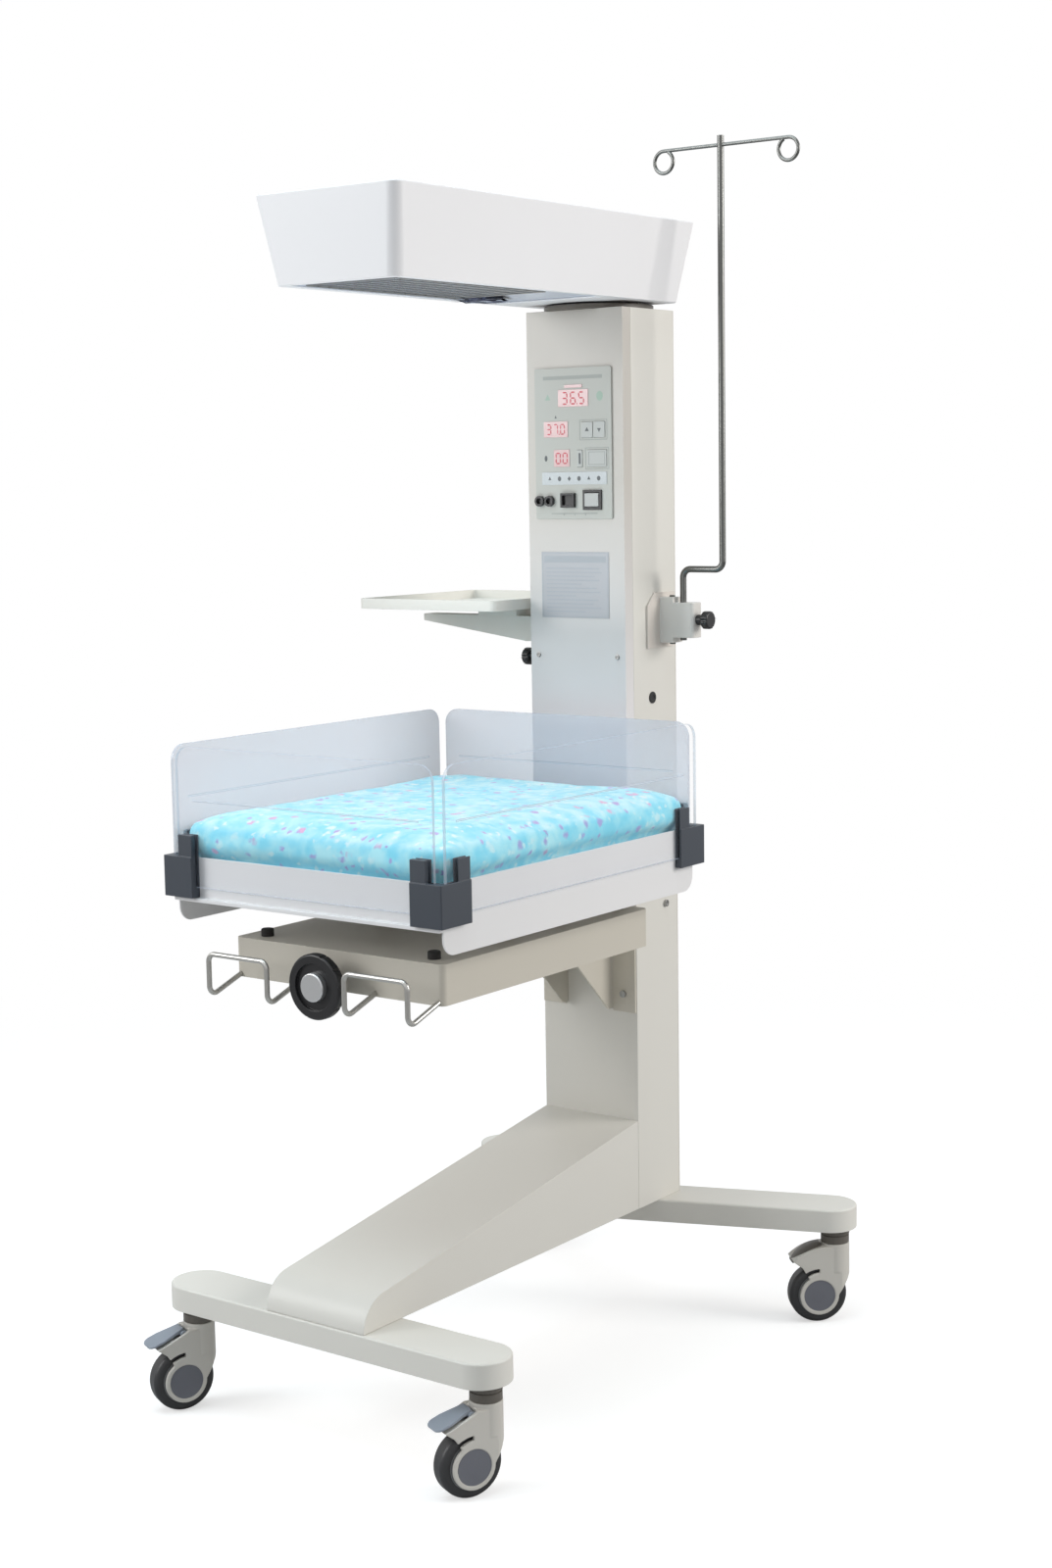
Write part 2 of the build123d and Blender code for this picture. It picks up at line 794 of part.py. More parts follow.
def make_panel_fittings():
    solids = []
    probe_centre_x = panel_left + (panel_right - panel_left) * probe_centre_shares[0]
    probe_centre_z = panel_bottom + panel_height * probe_centre_shares[1]
    for side in (-1, 1):
        x = probe_centre_x + side * probe_pitch / 2
        top = panel_front - probe_height
        socket = drum_y(probe_radius, x, top, panel_front, probe_centre_z)
        socket -= drum_y(probe_bore_radius, x, top - overrun, panel_front - window_thickness, probe_centre_z)
        solids.append(socket.solid())
    x0, x1, z0, z1 = on_panel(data_socket_shares)
    top = panel_front - data_socket_height
    square = block(x0, x1, top, panel_front, z0, z1)
    square -= block(x0 + data_socket_wall, x1 - data_socket_wall, top - overrun, top + data_socket_recess,
                    z0 + data_socket_wall, z1 - data_socket_wall)
    solids.append(square.solid())
    x0, x1, z0, z1 = on_panel(rocker_frame_shares)
    frame = block(x0, x1, panel_front - rocker_frame_height, panel_front, z0, z1)
    n0, n1, n2, n3 = rocker_opening()
    frame += block(n0, n1, panel_front, cover_front + rocker_neck_depth, n2, n3)
    frame -= block(x0 + rocker_frame_rim, x1 - rocker_frame_rim, panel_front - 2 * rocker_frame_height,
                   cover_front + 2 * rocker_neck_depth, z0 + rocker_frame_rim, z1 - rocker_frame_rim)
    middle_z = (z0 + z1) / 2
    frame += drum_x(rocker_pin_radius, n0, n1, rocker_axis_y(), middle_z)
    solids.append(frame.solid())
    return Compound(children=solids)


def make_rocker():
    x0, x1, z0, z1 = on_panel(rocker_frame_shares)
    front = panel_front - rocker_frame_height - rocker_proud
    inset = rocker_frame_rim + gap
    shorten = rocker_frame_rim + rocker_end_gap
    rocker = block(x0 + inset, x1 - inset, front, front + rocker_depth, z0 + shorten, z1 - shorten)
    middle_z = (z0 + z1) / 2
    return rocker - drum_x(rocker_pin_radius + run_fit, x0, x1, rocker_axis_y(), middle_z)


parts["column_shell"] = make_column_shell()
front_cover = make_front_cover()
hole = rocker_opening()
front_cover -= block(hole[0], hole[1], cover_front - overrun, cover_front + sheet + overrun,
                     hole[2], hole[3])
parts["column_front_cover"] = front_cover
parts["column_back_cover"] = make_back_cover()
parts["control_panel"] = make_control_panel()
parts["display_windows"] = make_windows()
parts["panel_fittings"] = make_panel_fittings()
parts["power_rocker"] = make_rocker()
parts["mode_key_left"] = make_key(mode_key_left_shares)
parts["mode_key_right"] = make_key(mode_key_right_shares)
parts["step_key"] = make_key(step_key_shares)
parts["timer_key"] = make_key(timer_key_shares)
parts["label_plate"] = block(plate_left, plate_right, cover_front - plate_thickness, cover_front,
                             plate_bottom, plate_top)


def make_column_fasteners():
    side = column_half_width
    plug_y = column_back - plug_inset
    plug_z = bed_floor + plug_above_bed
    side_bolt_y = column_back - side_bolt_inset
    side_bolt_z = arm_box_bottom + side_bolt_rise
    cover_screw_z = cover_bottom + cover_screw_share * (plate_bottom - cover_bottom)
    solids = [
        drum_x(plug_radius, side, side + plug_thickness, plug_y, plug_z).solid(),
        drum_x(side_bolt_radius, side, side + 2 * screw_height, side_bolt_y, side_bolt_z).solid(),
    ]
    for x in (-cover_screw_x, cover_screw_x):
        screw = drum_y(screw_radius, x, cover_front - screw_height, cover_front, cover_screw_z)
        solids.append(screw.solid())
    height = column_top - bar_top - 2 * back_screw_inset
    for row in range(back_screw_rows):
        z = bar_top + back_screw_inset + height * row / (back_screw_rows - 1)
        for x in (-column_half_width + back_screw_inset, column_half_width - back_screw_inset):
            solids.append(drum_y(screw_radius, x, column_back, column_back + screw_height, z).solid())
    flange_front = column_front - gusset_sheet
    for x in (-gusset_x - flange_width / 2, gusset_x + flange_width / 2):
        for z in (gusset_bottom + flange_bolt_rise / 4, gusset_bottom + flange_bolt_rise):
            low = flange_front - 2 * screw_height
            solids.append(drum_y(side_bolt_radius, x, low, flange_front, z).solid())
    return Compound(children=solids)


def make_mains_inlet():
    back = column_back + inlet_depth
    low = inlet_z - inlet_height / 2
    high = inlet_z + inlet_height / 2
    body = block(-inlet_half_width, inlet_half_width, column_back, back, low, high)
    inside = inlet_half_width - inlet_wall
    body -= block(-inside, inside, column_back + inlet_wall / 2, back + overrun,
                  low + inlet_wall, high - inlet_wall)
    for x in (-inlet_half_width / 2, 0, inlet_half_width / 2):
        body += drum_y(inlet_pin_radius, x, column_back, back - inlet_wall / 2, inlet_z)
    return body


parts["column_fasteners"] = make_column_fasteners()
parts["mains_inlet"] = make_mains_inlet()


# Turntable and hood
turntable_top = column_top + turntable_thickness
hood_middle_bottom = (hood_bottom_front + hood_bottom_back) / 2
hood_middle_top = (hood_top_front + hood_top_back) / 2


def hood_block(inset, z_cut):
    """The tapered hood, drawn in by inset all round and closed z_cut below its top."""
    low = RectangleRounded(2 * (hood_bottom_half_width - inset),
                           hood_bottom_back - hood_bottom_front - 2 * inset, hood_corner)
    high = RectangleRounded(2 * (hood_top_half_width - inset),
                            hood_top_back - hood_top_front - 2 * inset, hood_corner)
    lower = Pos(0, hood_middle_bottom, hood_bottom) * low
    upper = Pos(0, hood_middle_top, hood_top - z_cut) * high
    return loft([lower, upper])


def make_hood_shell():
    outer = hood_block(0, 0)
    outer = fillet(edges_at_z(outer, hood_top), hood_edge)
    inner = hood_block(hood_wall, hood_wall)
    width = hood_top_half_width + overrun
    front = hood_top_front - overrun
    back = hood_top_back + overrun
    floor = inner & block(-width, width, front, back, hood_bottom, hood_bottom + hood_wall)
    lip_width = hood_bottom_half_width - hood_wall - hood_lip
    lip_front = hood_bottom_front + hood_wall + hood_lip
    opening = block(-lip_width, lip_width, lip_front, bulkhead_y - hood_wall - hood_lip,
                    hood_bottom - overrun, hood_bottom + 2 * hood_wall)
    bulkhead = inner & block(-width, width, bulkhead_y - hood_wall, bulkhead_y, hood_bottom, hood_top)
    return (outer - inner) + (floor - opening) + bulkhead


def make_reflector():
    seat = hood_bottom + hood_wall
    half = hood_bottom_half_width - hood_wall - hood_lip / 2
    front = hood_bottom_front + hood_wall + hood_lip / 2
    back = bulkhead_y - hood_wall - gap
    plate = block(-half, half, front, back, seat, seat + reflector_sheet)
    plate = fillet(upright_edges(plate), hood_corner)
    middle = (reflector_front + reflector_back) / 2
    length = reflector_back - reflector_front

    def trough(inset):
        low = Rectangle(2 * (reflector_half_width - inset), length - 2 * inset)
        high = Rectangle(2 * (reflector_roof_half_width - inset), length - 2 * inset)
        lower = Pos(0, middle, seat) * low
        upper = Pos(0, middle, seat + reflector_height - inset) * high
        return loft([lower, upper])

    hollow = block(-reflector_half_width + reflector_sheet, reflector_half_width - reflector_sheet,
                   reflector_front + reflector_sheet, reflector_back - reflector_sheet,
                   seat - overrun, seat + reflector_sheet)
    return (plate + trough(0)) - trough(reflector_sheet) - hollow


def make_heater():
    seat = hood_bottom + hood_wall
    axis_z = seat + heater_height
    roof = seat + reflector_height - reflector_sheet
    inset = 2 * heater_block
    front = reflector_front + inset
    back = reflector_back - inset
    tube = drum_y(heater_radius, 0, front, back, axis_z)
    for y in (front, back):
        tube += block(-heater_block, heater_block, y - heater_block / 2, y + heater_block / 2,
                      axis_z - heater_block, roof)
    return tube


def make_heater_guard():
    top = hood_bottom + hood_wall
    bottom = top - guard_wire
    side = reflector_half_width + 2 * guard_wire
    front = reflector_front - 2 * guard_wire
    back = reflector_back + 2 * guard_wire
    guard = block(-side, -side + guard_wire, front, back, bottom, top)
    guard += block(side - guard_wire, side, front, back, bottom, top)
    for bar in range(guard_bars):
        y = front + (back - front - guard_wire) * bar / (guard_bars - 1)
        guard += block(-side, side, y, y + guard_wire, bottom, top)
    return guard


def make_exam_lamp():
    seat = hood_bottom + hood_wall
    lamp = block(lamp_x - lamp_width / 2, lamp_x + lamp_width / 2, lamp_y - lamp_length / 2,
                 lamp_y + lamp_length / 2, seat - lamp_depth, seat)
    return fillet(upright_edges(lamp), lamp_corner)


def make_hood_spindle():
    low = column_top - spindle_drop
    spindle = drum_z(spindle_radius, 0, mast_y, low, hood_bottom)
    spindle += drum_z(spindle_flange_radius, 0, mast_y, turntable_top + gap, hood_bottom)
    spindle += drum_z(spindle_collar_radius, 0, mast_y, low, low + spindle_collar_thickness)
    return spindle


def make_turntable():
    disc = drum_z(turntable_radius, 0, mast_y, column_top, turntable_top)
    disc = fillet(edges_at_z(disc, turntable_top), turntable_thickness / 4)
    return disc - drum_z(spindle_radius + run_fit, 0, mast_y, column_top - overrun, turntable_top + overrun)


parts["hood_turntable"] = make_turntable()
parts["hood_spindle"] = make_hood_spindle()
parts["hood_shell"] = make_hood_shell()
parts["heat_reflector"] = make_reflector()
parts["heater_element"] = make_heater()
parts["heater_guard"] = make_heater_guard()
parts["exam_lamp"] = make_exam_lamp()


# Knob with a threaded stud, shared by the pole clamp and the shelf clamp
def make_knob(side, inner_face, stud_tip, y, z):
    """side is 1 or -1 along X; the neck starts a gap outside the clamp's inner_face."""
    neck_start = inner_face + side * gap
    neck_end = neck_start + side * knob_neck
    head_end = neck_end + side * knob_head
    low, high = sorted((stud_tip, neck_end))
    knob = drum_x(stud_radius, low, high, y, z)
    low, high = sorted((neck_start, neck_end))
    knob += drum_x(knob_neck_radius, low, high, y, z)
    low, high = sorted((neck_end, head_end))
    head = drum_x(knob_radius, low, high, y, z)
    head = fillet(head.edges().filter_by(GeomType.CIRCLE), clamp_edge)
    for lobe in range(knob_lobes):
        turn = 2 * math.pi * lobe / knob_lobes
        away = knob_radius + lobe_radius / 2
        head -= drum_x(lobe_radius, low - overrun, high + overrun,
                       y + away * math.cos(turn), z + away * math.sin(turn))
    return knob + head


# Drip pole
clamp_face = column_half_width + bracket_plate + clamp_width


def make_pole_bracket():
    side = column_half_width
    corner = (bracket_front, bracket_top - bracket_chamfer)
    outline = [
        (bracket_front, bracket_bottom),
        (bracket_back, bracket_bottom),
        (bracket_back, bracket_top),
        (bracket_front + bracket_chamfer, bracket_top),
        corner,
    ]
    bracket = prism_x(outline, side, side + bracket_plate)
    body = block(side + bracket_plate, clamp_face, pole_y - clamp_half_depth, pole_y + clamp_half_depth,
                 clamp_bottom, clamp_top)
    bracket += fillet(upright_edges(body).sort_by(Axis.X)[2:], clamp_corner)
    foot_bottom = bracket_bottom + clamp_foot_margin
    foot_top = bracket_top - clamp_foot_margin
    bracket += block(side + bracket_plate, side + bracket_plate + clamp_foot_width, pole_y - clamp_half_depth,
                     pole_y + clamp_half_depth, foot_bottom, foot_top)
    bracket += drum_z(clamp_bolt_radius, pole_x - clamp_bolt_offset, pole_y, foot_bottom - clamp_bolt_head,
                      foot_top + clamp_bolt_head)
    bracket -= drum_z(pole_radius + run_fit, pole_x, pole_y, clamp_bottom - overrun, clamp_top + overrun)
    return bracket - drum_x(stud_radius + run_fit, pole_x, clamp_face + overrun, pole_y, knob_z)


def make_pole():
    path = FilletPolyline(
        (pole_x, pole_y, pole_bottom),
        (pole_x, pole_y, pole_jog_z),
        (pole_jog_x, pole_y, pole_jog_z),
        (pole_jog_x, pole_y, pole_top),
        radius=pole_bend,
    )
    start = Plane(origin=(pole_x, pole_y, pole_bottom), z_dir=(0, 0, 1))
    pole = sweep(start * Circle(pole_radius), path=path)
    left = pole_jog_x - loop_left_reach
    right = pole_jog_x + loop_right_reach
    bar = Plane(origin=(0, pole_y, crossbar_z), x_dir=(1, 0, 0), z_dir=(0, -1, 0))
    left_loop = CenterArc((left, -loop_radius), loop_radius, 90 + loop_turn, -loop_turn)
    right_loop = CenterArc((right, -loop_radius), loop_radius, 90, -loop_turn)
    hook_path = bar * Wire([left_loop, Line((left, 0), (right, 0)), right_loop])
    tip = hook_path @ 0
    hook_start = Plane(origin=tip, z_dir=hook_path % 0)
    pole += sweep(hook_start * Circle(crossbar_radius), path=hook_path)
    return pole


parts["pole_bracket"] = make_pole_bracket()
parts["drip_pole"] = make_pole()
parts["pole_knob"] = make_knob(1, clamp_face, pole_x + pole_radius + gap, pole_y, knob_z)


# Shelf
shelf_face = -(column_half_width + bracket_plate + shelf_clamp_width)
post_x = -(column_half_width + bracket_plate + shelf_post_offset)
arm_bottom = shelf_clamp_top + gap


def make_shelf_bracket():
    side = -column_half_width
    bracket = block(side - bracket_plate, side, mast_y - shelf_plate_half_depth,
                    mast_y + shelf_plate_half_depth, shelf_clamp_bottom - shelf_plate_foot,
                    shelf_clamp_top + shelf_plate_head)
    body = block(shelf_face, side - bracket_plate, mast_y - shelf_clamp_half_depth,
                 mast_y + shelf_clamp_half_depth, shelf_clamp_bottom, shelf_clamp_top)
    bracket += fillet(upright_edges(body).sort_by(Axis.X)[:2], clamp_edge)
    bracket -= drum_z(shelf_post_radius + run_fit, post_x, mast_y,
                      shelf_clamp_bottom - overrun, shelf_clamp_top + overrun)
    return bracket - drum_x(stud_radius + run_fit, shelf_face - overrun, post_x, mast_y, shelf_knob_z)


def make_shelf_arm():
    outline = [
        (arm_root_x, arm_bottom),
        (arm_root_x, arm_top),
        (arm_tip_x, arm_top),
        (arm_tip_x, arm_tip_bottom),
        (arm_root_x - arm_root_run, arm_bottom),
    ]
    arm = prism_y(outline, mast_y - arm_half_depth, mast_y + arm_half_depth)
    arm += drum_z(shelf_post_radius, post_x, mast_y, shelf_clamp_bottom - overrun, arm_top)
    arm += block(arm_root_x - saddle_far, arm_root_x - saddle_near, mast_y - saddle_half_depth,
                 mast_y + saddle_half_depth, arm_top, tray_floor_z)
    return arm


def make_shelf_tray():
    outer = block(tray_left, tray_right, tray_front, tray_back, tray_floor_z, tray_rim_z)
    outer = fillet(upright_edges(outer), tray_corner)
    inner = block(tray_left + tray_sheet, tray_right - tray_sheet, tray_front + tray_sheet,
                  tray_back - tray_sheet, tray_floor_z + tray_sheet, tray_rim_z + overrun)
    inner = fillet(upright_edges(inner), tray_corner - tray_sheet)
    tray = outer - inner
    low = tray_rim_z - notch_depth
    notch_y = mast_y - notch_offset
    return tray - block(tray_right - tray_corner, tray_right + overrun, notch_y - notch_width / 2,
                        notch_y + notch_width / 2, low, tray_rim_z + overrun)


parts["shelf_bracket"] = make_shelf_bracket()
parts["shelf_arm"] = make_shelf_arm()
parts["shelf_tray"] = make_shelf_tray()
parts["shelf_knob"] = make_knob(-1, shelf_face, post_x - shelf_post_radius - gap, mast_y, shelf_knob_z)


# Bed support arm
def make_support_arm():
    main = block(-arm_box_half_width, arm_box_half_width, arm_box_front, arm_box_back,
                 arm_box_bottom, arm_box_top)
    main = fillet(upright_edges(main), arm_box_corner)
    neck = block(-neck_half_width, neck_half_width, arm_box_back - overrun, column_front,
                 arm_box_bottom, arm_box_top)
    inside = arm_box_half_width - arm_sheet
    hollow = block(-inside, inside, arm_box_front + arm_sheet, arm_box_back - arm_sheet,
                   arm_box_bottom + arm_sheet, arm_box_top - arm_sheet)
    hollow = fillet(upright_edges(hollow), arm_box_corner - arm_sheet)
    passage = block(-neck_half_width + arm_sheet, neck_half_width - arm_sheet, arm_box_back - 2 * overrun,
                    column_front + overrun, arm_box_bottom + arm_sheet, arm_box_top - arm_sheet)
    arm = (main + neck) - hollow - passage
    inside_face = arm_box_front + arm_sheet
    arm += drum_y(bush_radius, 0, inside_face, inside_face + bush_length, wheel_centre_z)
    return arm - drum_y(screw_shaft_radius + run_fit, 0, arm_box_front - overrun,
                        inside_face + bush_length + overrun, wheel_centre_z)


def make_gussets():
    inner = gusset_x - gusset_sheet / 2
    rise = arm_box_bottom - gusset_bottom
    toe = column_front - gusset_toe
    outline = [
        (column_front, gusset_bottom),
        (toe, gusset_bottom),
        (toe - rise, arm_box_bottom),
        (column_front, arm_box_bottom),
    ]
    web = prism_x(outline, inner, inner + gusset_sheet)
    flange = block(inner + gusset_sheet, gusset_x + flange_width, column_front - gusset_sheet, column_front,
                   gusset_bottom - bar_edge, arm_box_bottom)
    return pair(web + flange)


def make_hooks():
    path = FilletPolyline(
        (hook_inner_x, arm_box_front, hook_root_z),
        (hook_inner_x, hook_front, hook_low),
        (hook_inner_x, hook_front, hook_top),
        (hook_outer_x, hook_front, hook_top),
        (hook_outer_x, hook_front, hook_low),
        (hook_outer_x, arm_box_front, hook_root_z),
        radius=hook_bend,
    )
    run = hook_front - arm_box_front
    start = Plane(origin=(hook_inner_x, arm_box_front, hook_root_z), z_dir=(0, run, hook_low - hook_root_z))
    wire = sweep(start * Circle(hook_wire), path=path, transition=Transition.ROUND)
    room = block(0, 2 * hook_outer_x, 2 * hook_front, arm_box_front, 0, 2 * hook_top)
    return pair(wire & room)


def make_handwheel_rim():
    low = handwheel_front
    high = handwheel_front + handwheel_depth
    ring = drum_y(handwheel_radius, 0, low, high, wheel_centre_z)
    ring = fillet(ring.edges().filter_by(GeomType.CIRCLE), handwheel_depth / 4)
    for scallop in range(grip_scallops):
        turn = 2 * math.pi * scallop / grip_scallops
        away = handwheel_radius + scallop_radius / 2
        ring -= drum_y(scallop_radius, away * math.cos(turn), low - overrun, high + overrun,
                       wheel_centre_z + away * math.sin(turn))
    ring -= drum_y(handwheel_inner, 0, low - overrun, high + overrun, wheel_centre_z)
    middle = (low + high) / 2
    half_web = handwheel_web / 2
    ring += drum_y(handwheel_inner, 0, middle - half_web, middle + half_web, wheel_centre_z)
    return ring - drum_y(screw_shaft_radius, 0, low - overrun, high + overrun, wheel_centre_z)


def make_handwheel_hub():
    middle = handwheel_front + handwheel_depth / 2
    web_front = middle - handwheel_web / 2
    web_back = middle + handwheel_web / 2
    hub = drum_y(hub_cap_radius, 0, web_front - hub_cap_depth, web_front, wheel_centre_z)
    hub = fillet(hub.edges().filter_by(GeomType.CIRCLE).sort_by(Axis.Y)[:1], hub_cap_depth / 4)
    hub += drum_y(screw_shaft_radius, 0, web_front, screw_shaft_end, wheel_centre_z)
    return hub + drum_y(spacer_radius, 0, web_back, arm_box_front - gap, wheel_centre_z)


def make_buffers():
    solids = []
    for x in (buffer_inset_x - arm_box_half_width, arm_box_half_width - buffer_inset_x):
        for y in (arm_box_front + buffer_inset_y, arm_box_back - buffer_inset_y):
            pad = drum_z(buffer_radius, x, y, arm_box_top, arm_box_top + buffer_height)
            solids.append(fillet(edges_at_z(pad, arm_box_top + buffer_height), buffer_radius / 4).solid())
    return Compound(children=solids)


parts["bed_support_arm"] = make_support_arm()
parts["support_gussets"] = make_gussets()
parts["wire_hooks"] = make_hooks()
parts["handwheel_rim"] = make_handwheel_rim()
parts["handwheel_hub"] = make_handwheel_hub()
parts["bed_buffers"] = make_buffers()


# Tilting bed
bed_middle = (bed_front + bed_back) / 2


def make_tilt_brackets():
    inner = lug_inner_x + lug_thickness + gap
    outer = inner + ear_thickness
    base = arm_box_top + ear_foot
    foot = block(inner, outer + ear_foot_reach, bed_middle - 1.5 * lug_half_width,
                 bed_middle + 1.5 * lug_half_width, arm_box_top, base)
    ear = block(inner, outer, bed_middle - lug_half_width, bed_middle + lug_half_width, base, tilt_z)
    ear += drum_x(lug_radius, inner, outer, bed_middle, tilt_z)
    pin = drum_x(tilt_pin_radius, lug_inner_x - tilt_pin_tail, outer, bed_middle, tilt_z)
    return pair(foot + ear + pin)


def make_bed_tray():
    w = bed_half_width
    walls = block(-w, w, bed_front, bed_back, bed_wall_bottom, bed_rim)
    inside = w - bed_wall
    walls -= block(-inside, inside, bed_front + bed_wall, bed_back - bed_wall, bed_floor, bed_rim + overrun)
    walls -= block(-inside, inside, bed_front + bed_wall, bed_back - bed_wall,
                   bed_wall_bottom - overrun, bed_floor - bed_wall)
    skirt = block(inside, w, bed_front, bed_back, skirt_bottom, bed_wall_bottom)
    low_edges = edges_at_z(skirt, skirt_bottom)
    across = [edge for edge in low_edges if edge.bounding_box().size.X > bed_wall / 2]
    across = [edge for edge in across if edge.bounding_box().size.Y < bed_wall / 2]
    skirt = fillet(across, skirt_corner)
    lug = block(lug_inner_x, lug_inner_x + lug_thickness, bed_middle - lug_half_width,
                bed_middle + lug_half_width, tilt_z, bed_floor - bed_wall)
    lug += drum_x(lug_radius, lug_inner_x, lug_inner_x + lug_thickness, bed_middle, tilt_z)
    lug -= drum_x(tilt_pin_radius + run_fit, lug_inner_x - overrun, lug_inner_x + lug_thickness + overrun,
                  bed_middle, tilt_z)
    lip = block(-w, w, bed_front - lip_reach, bed_front, bed_wall_bottom, bed_wall_bottom + lip_depth)
    return walls + skirt + mirrored(skirt) + lug + mirrored(lug) + lip


side_wall_x = bed_half_width + wall_standoff


def slot_cut(x0, x1, y0, y1):
    return block(x0, x1, y0, y1, wall_bottom, fin_top + overrun)


def make_corner():
    """The bracket of the right front corner, with a slot for the end wall and one for the side wall."""
    x_out = bed_half_width + bracket_x_thickness
    y_out = bed_front - bracket_y_thickness
    x_in = x_out - bracket_leg_x
    y_in = y_out + bracket_leg_y
    leg = block(x_in, x_out, y_out, bed_front, corner_bottom, corner_top)
    leg += block(bed_half_width, x_out, y_out, y_in, corner_bottom, corner_top)
    leg += block(x_in, x_in + fin_width, y_out + corner_edge, bed_front, corner_top, fin_top)
    leg += block(bed_half_width, x_out - corner_edge, y_in - fin_width, y_in, corner_top, fin_top)
    leg = fillet(leg.edges().filter_by(Axis.Z).sort_by_distance((x_out, y_out, corner_top))[:1], corner_edge)
    y_wall = bed_front - wall_standoff
    leg -= slot_cut(x_in - overrun, end_wall_half_width + gap, y_wall - wall_sheet - gap, y_wall + gap)
    leg -= slot_cut(side_wall_x - gap, side_wall_x + wall_sheet + gap, bed_front - gap, y_in + overrun)
    return leg


def make_corner_brackets():
    """Left and right at the front, and the same two turned half round for the head end."""
    solids = []
    for turn in (0, 180):
        for corner in (make_corner(), mirrored(make_corner())):
            about_middle = Pos(0, bed_middle, 0) * Rot(0, 0, turn) * Pos(0, -bed_middle, 0)
            solids.append((about_middle * corner).solid())
    return Compound(children=solids)


def make_end_wall(outer_y, inner_face, inward):
    """A clear wall across the bed, with a shallow groove along its inner face."""
    wall = block(-end_wall_half_width, end_wall_half_width, outer_y, outer_y + wall_sheet,
                 wall_bottom + gap, wall_top)
    corners = [edge for edge in wall.edges().filter_by(Axis.Y) if edge.center().Z > bed_rim]
    wall = fillet(corners, wall_corner)
    groove_z = wall_top - groove_below_top
    reach = end_wall_half_width - groove_end_inset
    low, high = sorted((inner_face - inward * groove_depth, inner_face + inward * overrun))
    return wall - block(-reach, reach, low, high, groove_z - groove_half_width, groove_z + groove_half_width)


def make_side_wall():
    """The clear wall on the right, with the same groove along its inner face."""
    wall = block(side_wall_x, side_wall_x + wall_sheet, bed_front, bed_back, wall_bottom + gap, wall_top)
    corners = [edge for edge in wall.edges().filter_by(Axis.X) if edge.center().Z > bed_rim]
    wall = fillet(corners, wall_corner)
    groove_z = wall_top - groove_below_top
    return wall - block(side_wall_x - overrun, side_wall_x + groove_depth, bed_front + groove_end_inset,
                        bed_back - groove_end_inset, groove_z - groove_half_width,
                        groove_z + groove_half_width)


def mattress_outline(inset, z):
    """A rounded rectangle whose sides pull in between its corners."""
    hx = mattress_half_width - inset
    hy = mattress_length / 2 - inset
    r = mattress_corner
    p = mattress_pull
    d = r * (1 - math.sqrt(0.5))
    arcs = [
        ThreePointArc((hx - r, -hy), (hx - d, -hy + d), (hx, -hy + r)),
        ThreePointArc((hx, -hy + r), (hx - p, 0), (hx, hy - r)),
        ThreePointArc((hx, hy - r), (hx - d, hy - d), (hx - r, hy)),
        ThreePointArc((hx - r, hy), (0, hy - p), (-hx + r, hy)),
        ThreePointArc((-hx + r, hy), (-hx + d, hy - d), (-hx, hy - r)),
        ThreePointArc((-hx, hy - r), (-hx + p, 0), (-hx, -hy + r)),
        ThreePointArc((-hx, -hy + r), (-hx + d, -hy + d), (-hx + r, -hy)),
        ThreePointArc((-hx + r, -hy), (0, -hy + p), (hx - r, -hy)),
    ]
    return Pos(0, bed_middle, z) * make_face(Wire(arcs))


def make_mattress():
    """Foam in a cover: rounded edges, sides that bow out at half height and a crowned top."""
    layer_shares = (0.0, 0.12, 0.5, 0.88, 1.0)
    inset_shares = (0.55, 0.15, 0.0, 0.2, 1.0)
    faces = []
    for layer_share, inset_share in zip(layer_shares, inset_shares):
        z = bed_floor + mattress_thickness * layer_share
        faces.append(mattress_outline(mattress_edge_inset * inset_share, z))
    body = loft(faces)
    top = bed_floor + mattress_thickness
    cap = loft([
        mattress_outline(mattress_edge_inset, top),
        mattress_outline(mattress_crown_inset / 2, top + mattress_crown * crown_step_share),
        mattress_outline(mattress_crown_inset, top + mattress_crown),
    ])
    return body + cap


parts["tilt_brackets"] = make_tilt_brackets()
parts["bed_tray"] = make_bed_tray()
parts["corner_brackets"] = make_corner_brackets()
front_face = bed_front - wall_standoff
back_face = bed_back + wall_standoff
parts["wall_front"] = make_end_wall(front_face - wall_sheet, front_face, 1)
parts["wall_back"] = make_end_wall(back_face, back_face, -1)
parts["wall_right"] = make_side_wall()
parts["wall_left"] = mirrored(make_side_wall())
parts["mattress"] = make_mattress()

# Move the origin to the floor below the middle of the whole warmer, and write each piece
boxes = [shape.bounding_box() for shape in parts.values()]
nearest = min(box.min.Y for box in boxes)
farthest = max(box.max.Y for box in boxes)
forward_shift = -(nearest + farthest) / 2
print("moved along Y by", round(forward_shift, 4), "pieces", len(parts))
for name, shape in parts.items():
    export_step(Pos(0, forward_shift, 0) * shape, "parts/" + name + ".step")
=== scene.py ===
import json
import math
import bpy
from mathutils import Matrix, Vector, noise


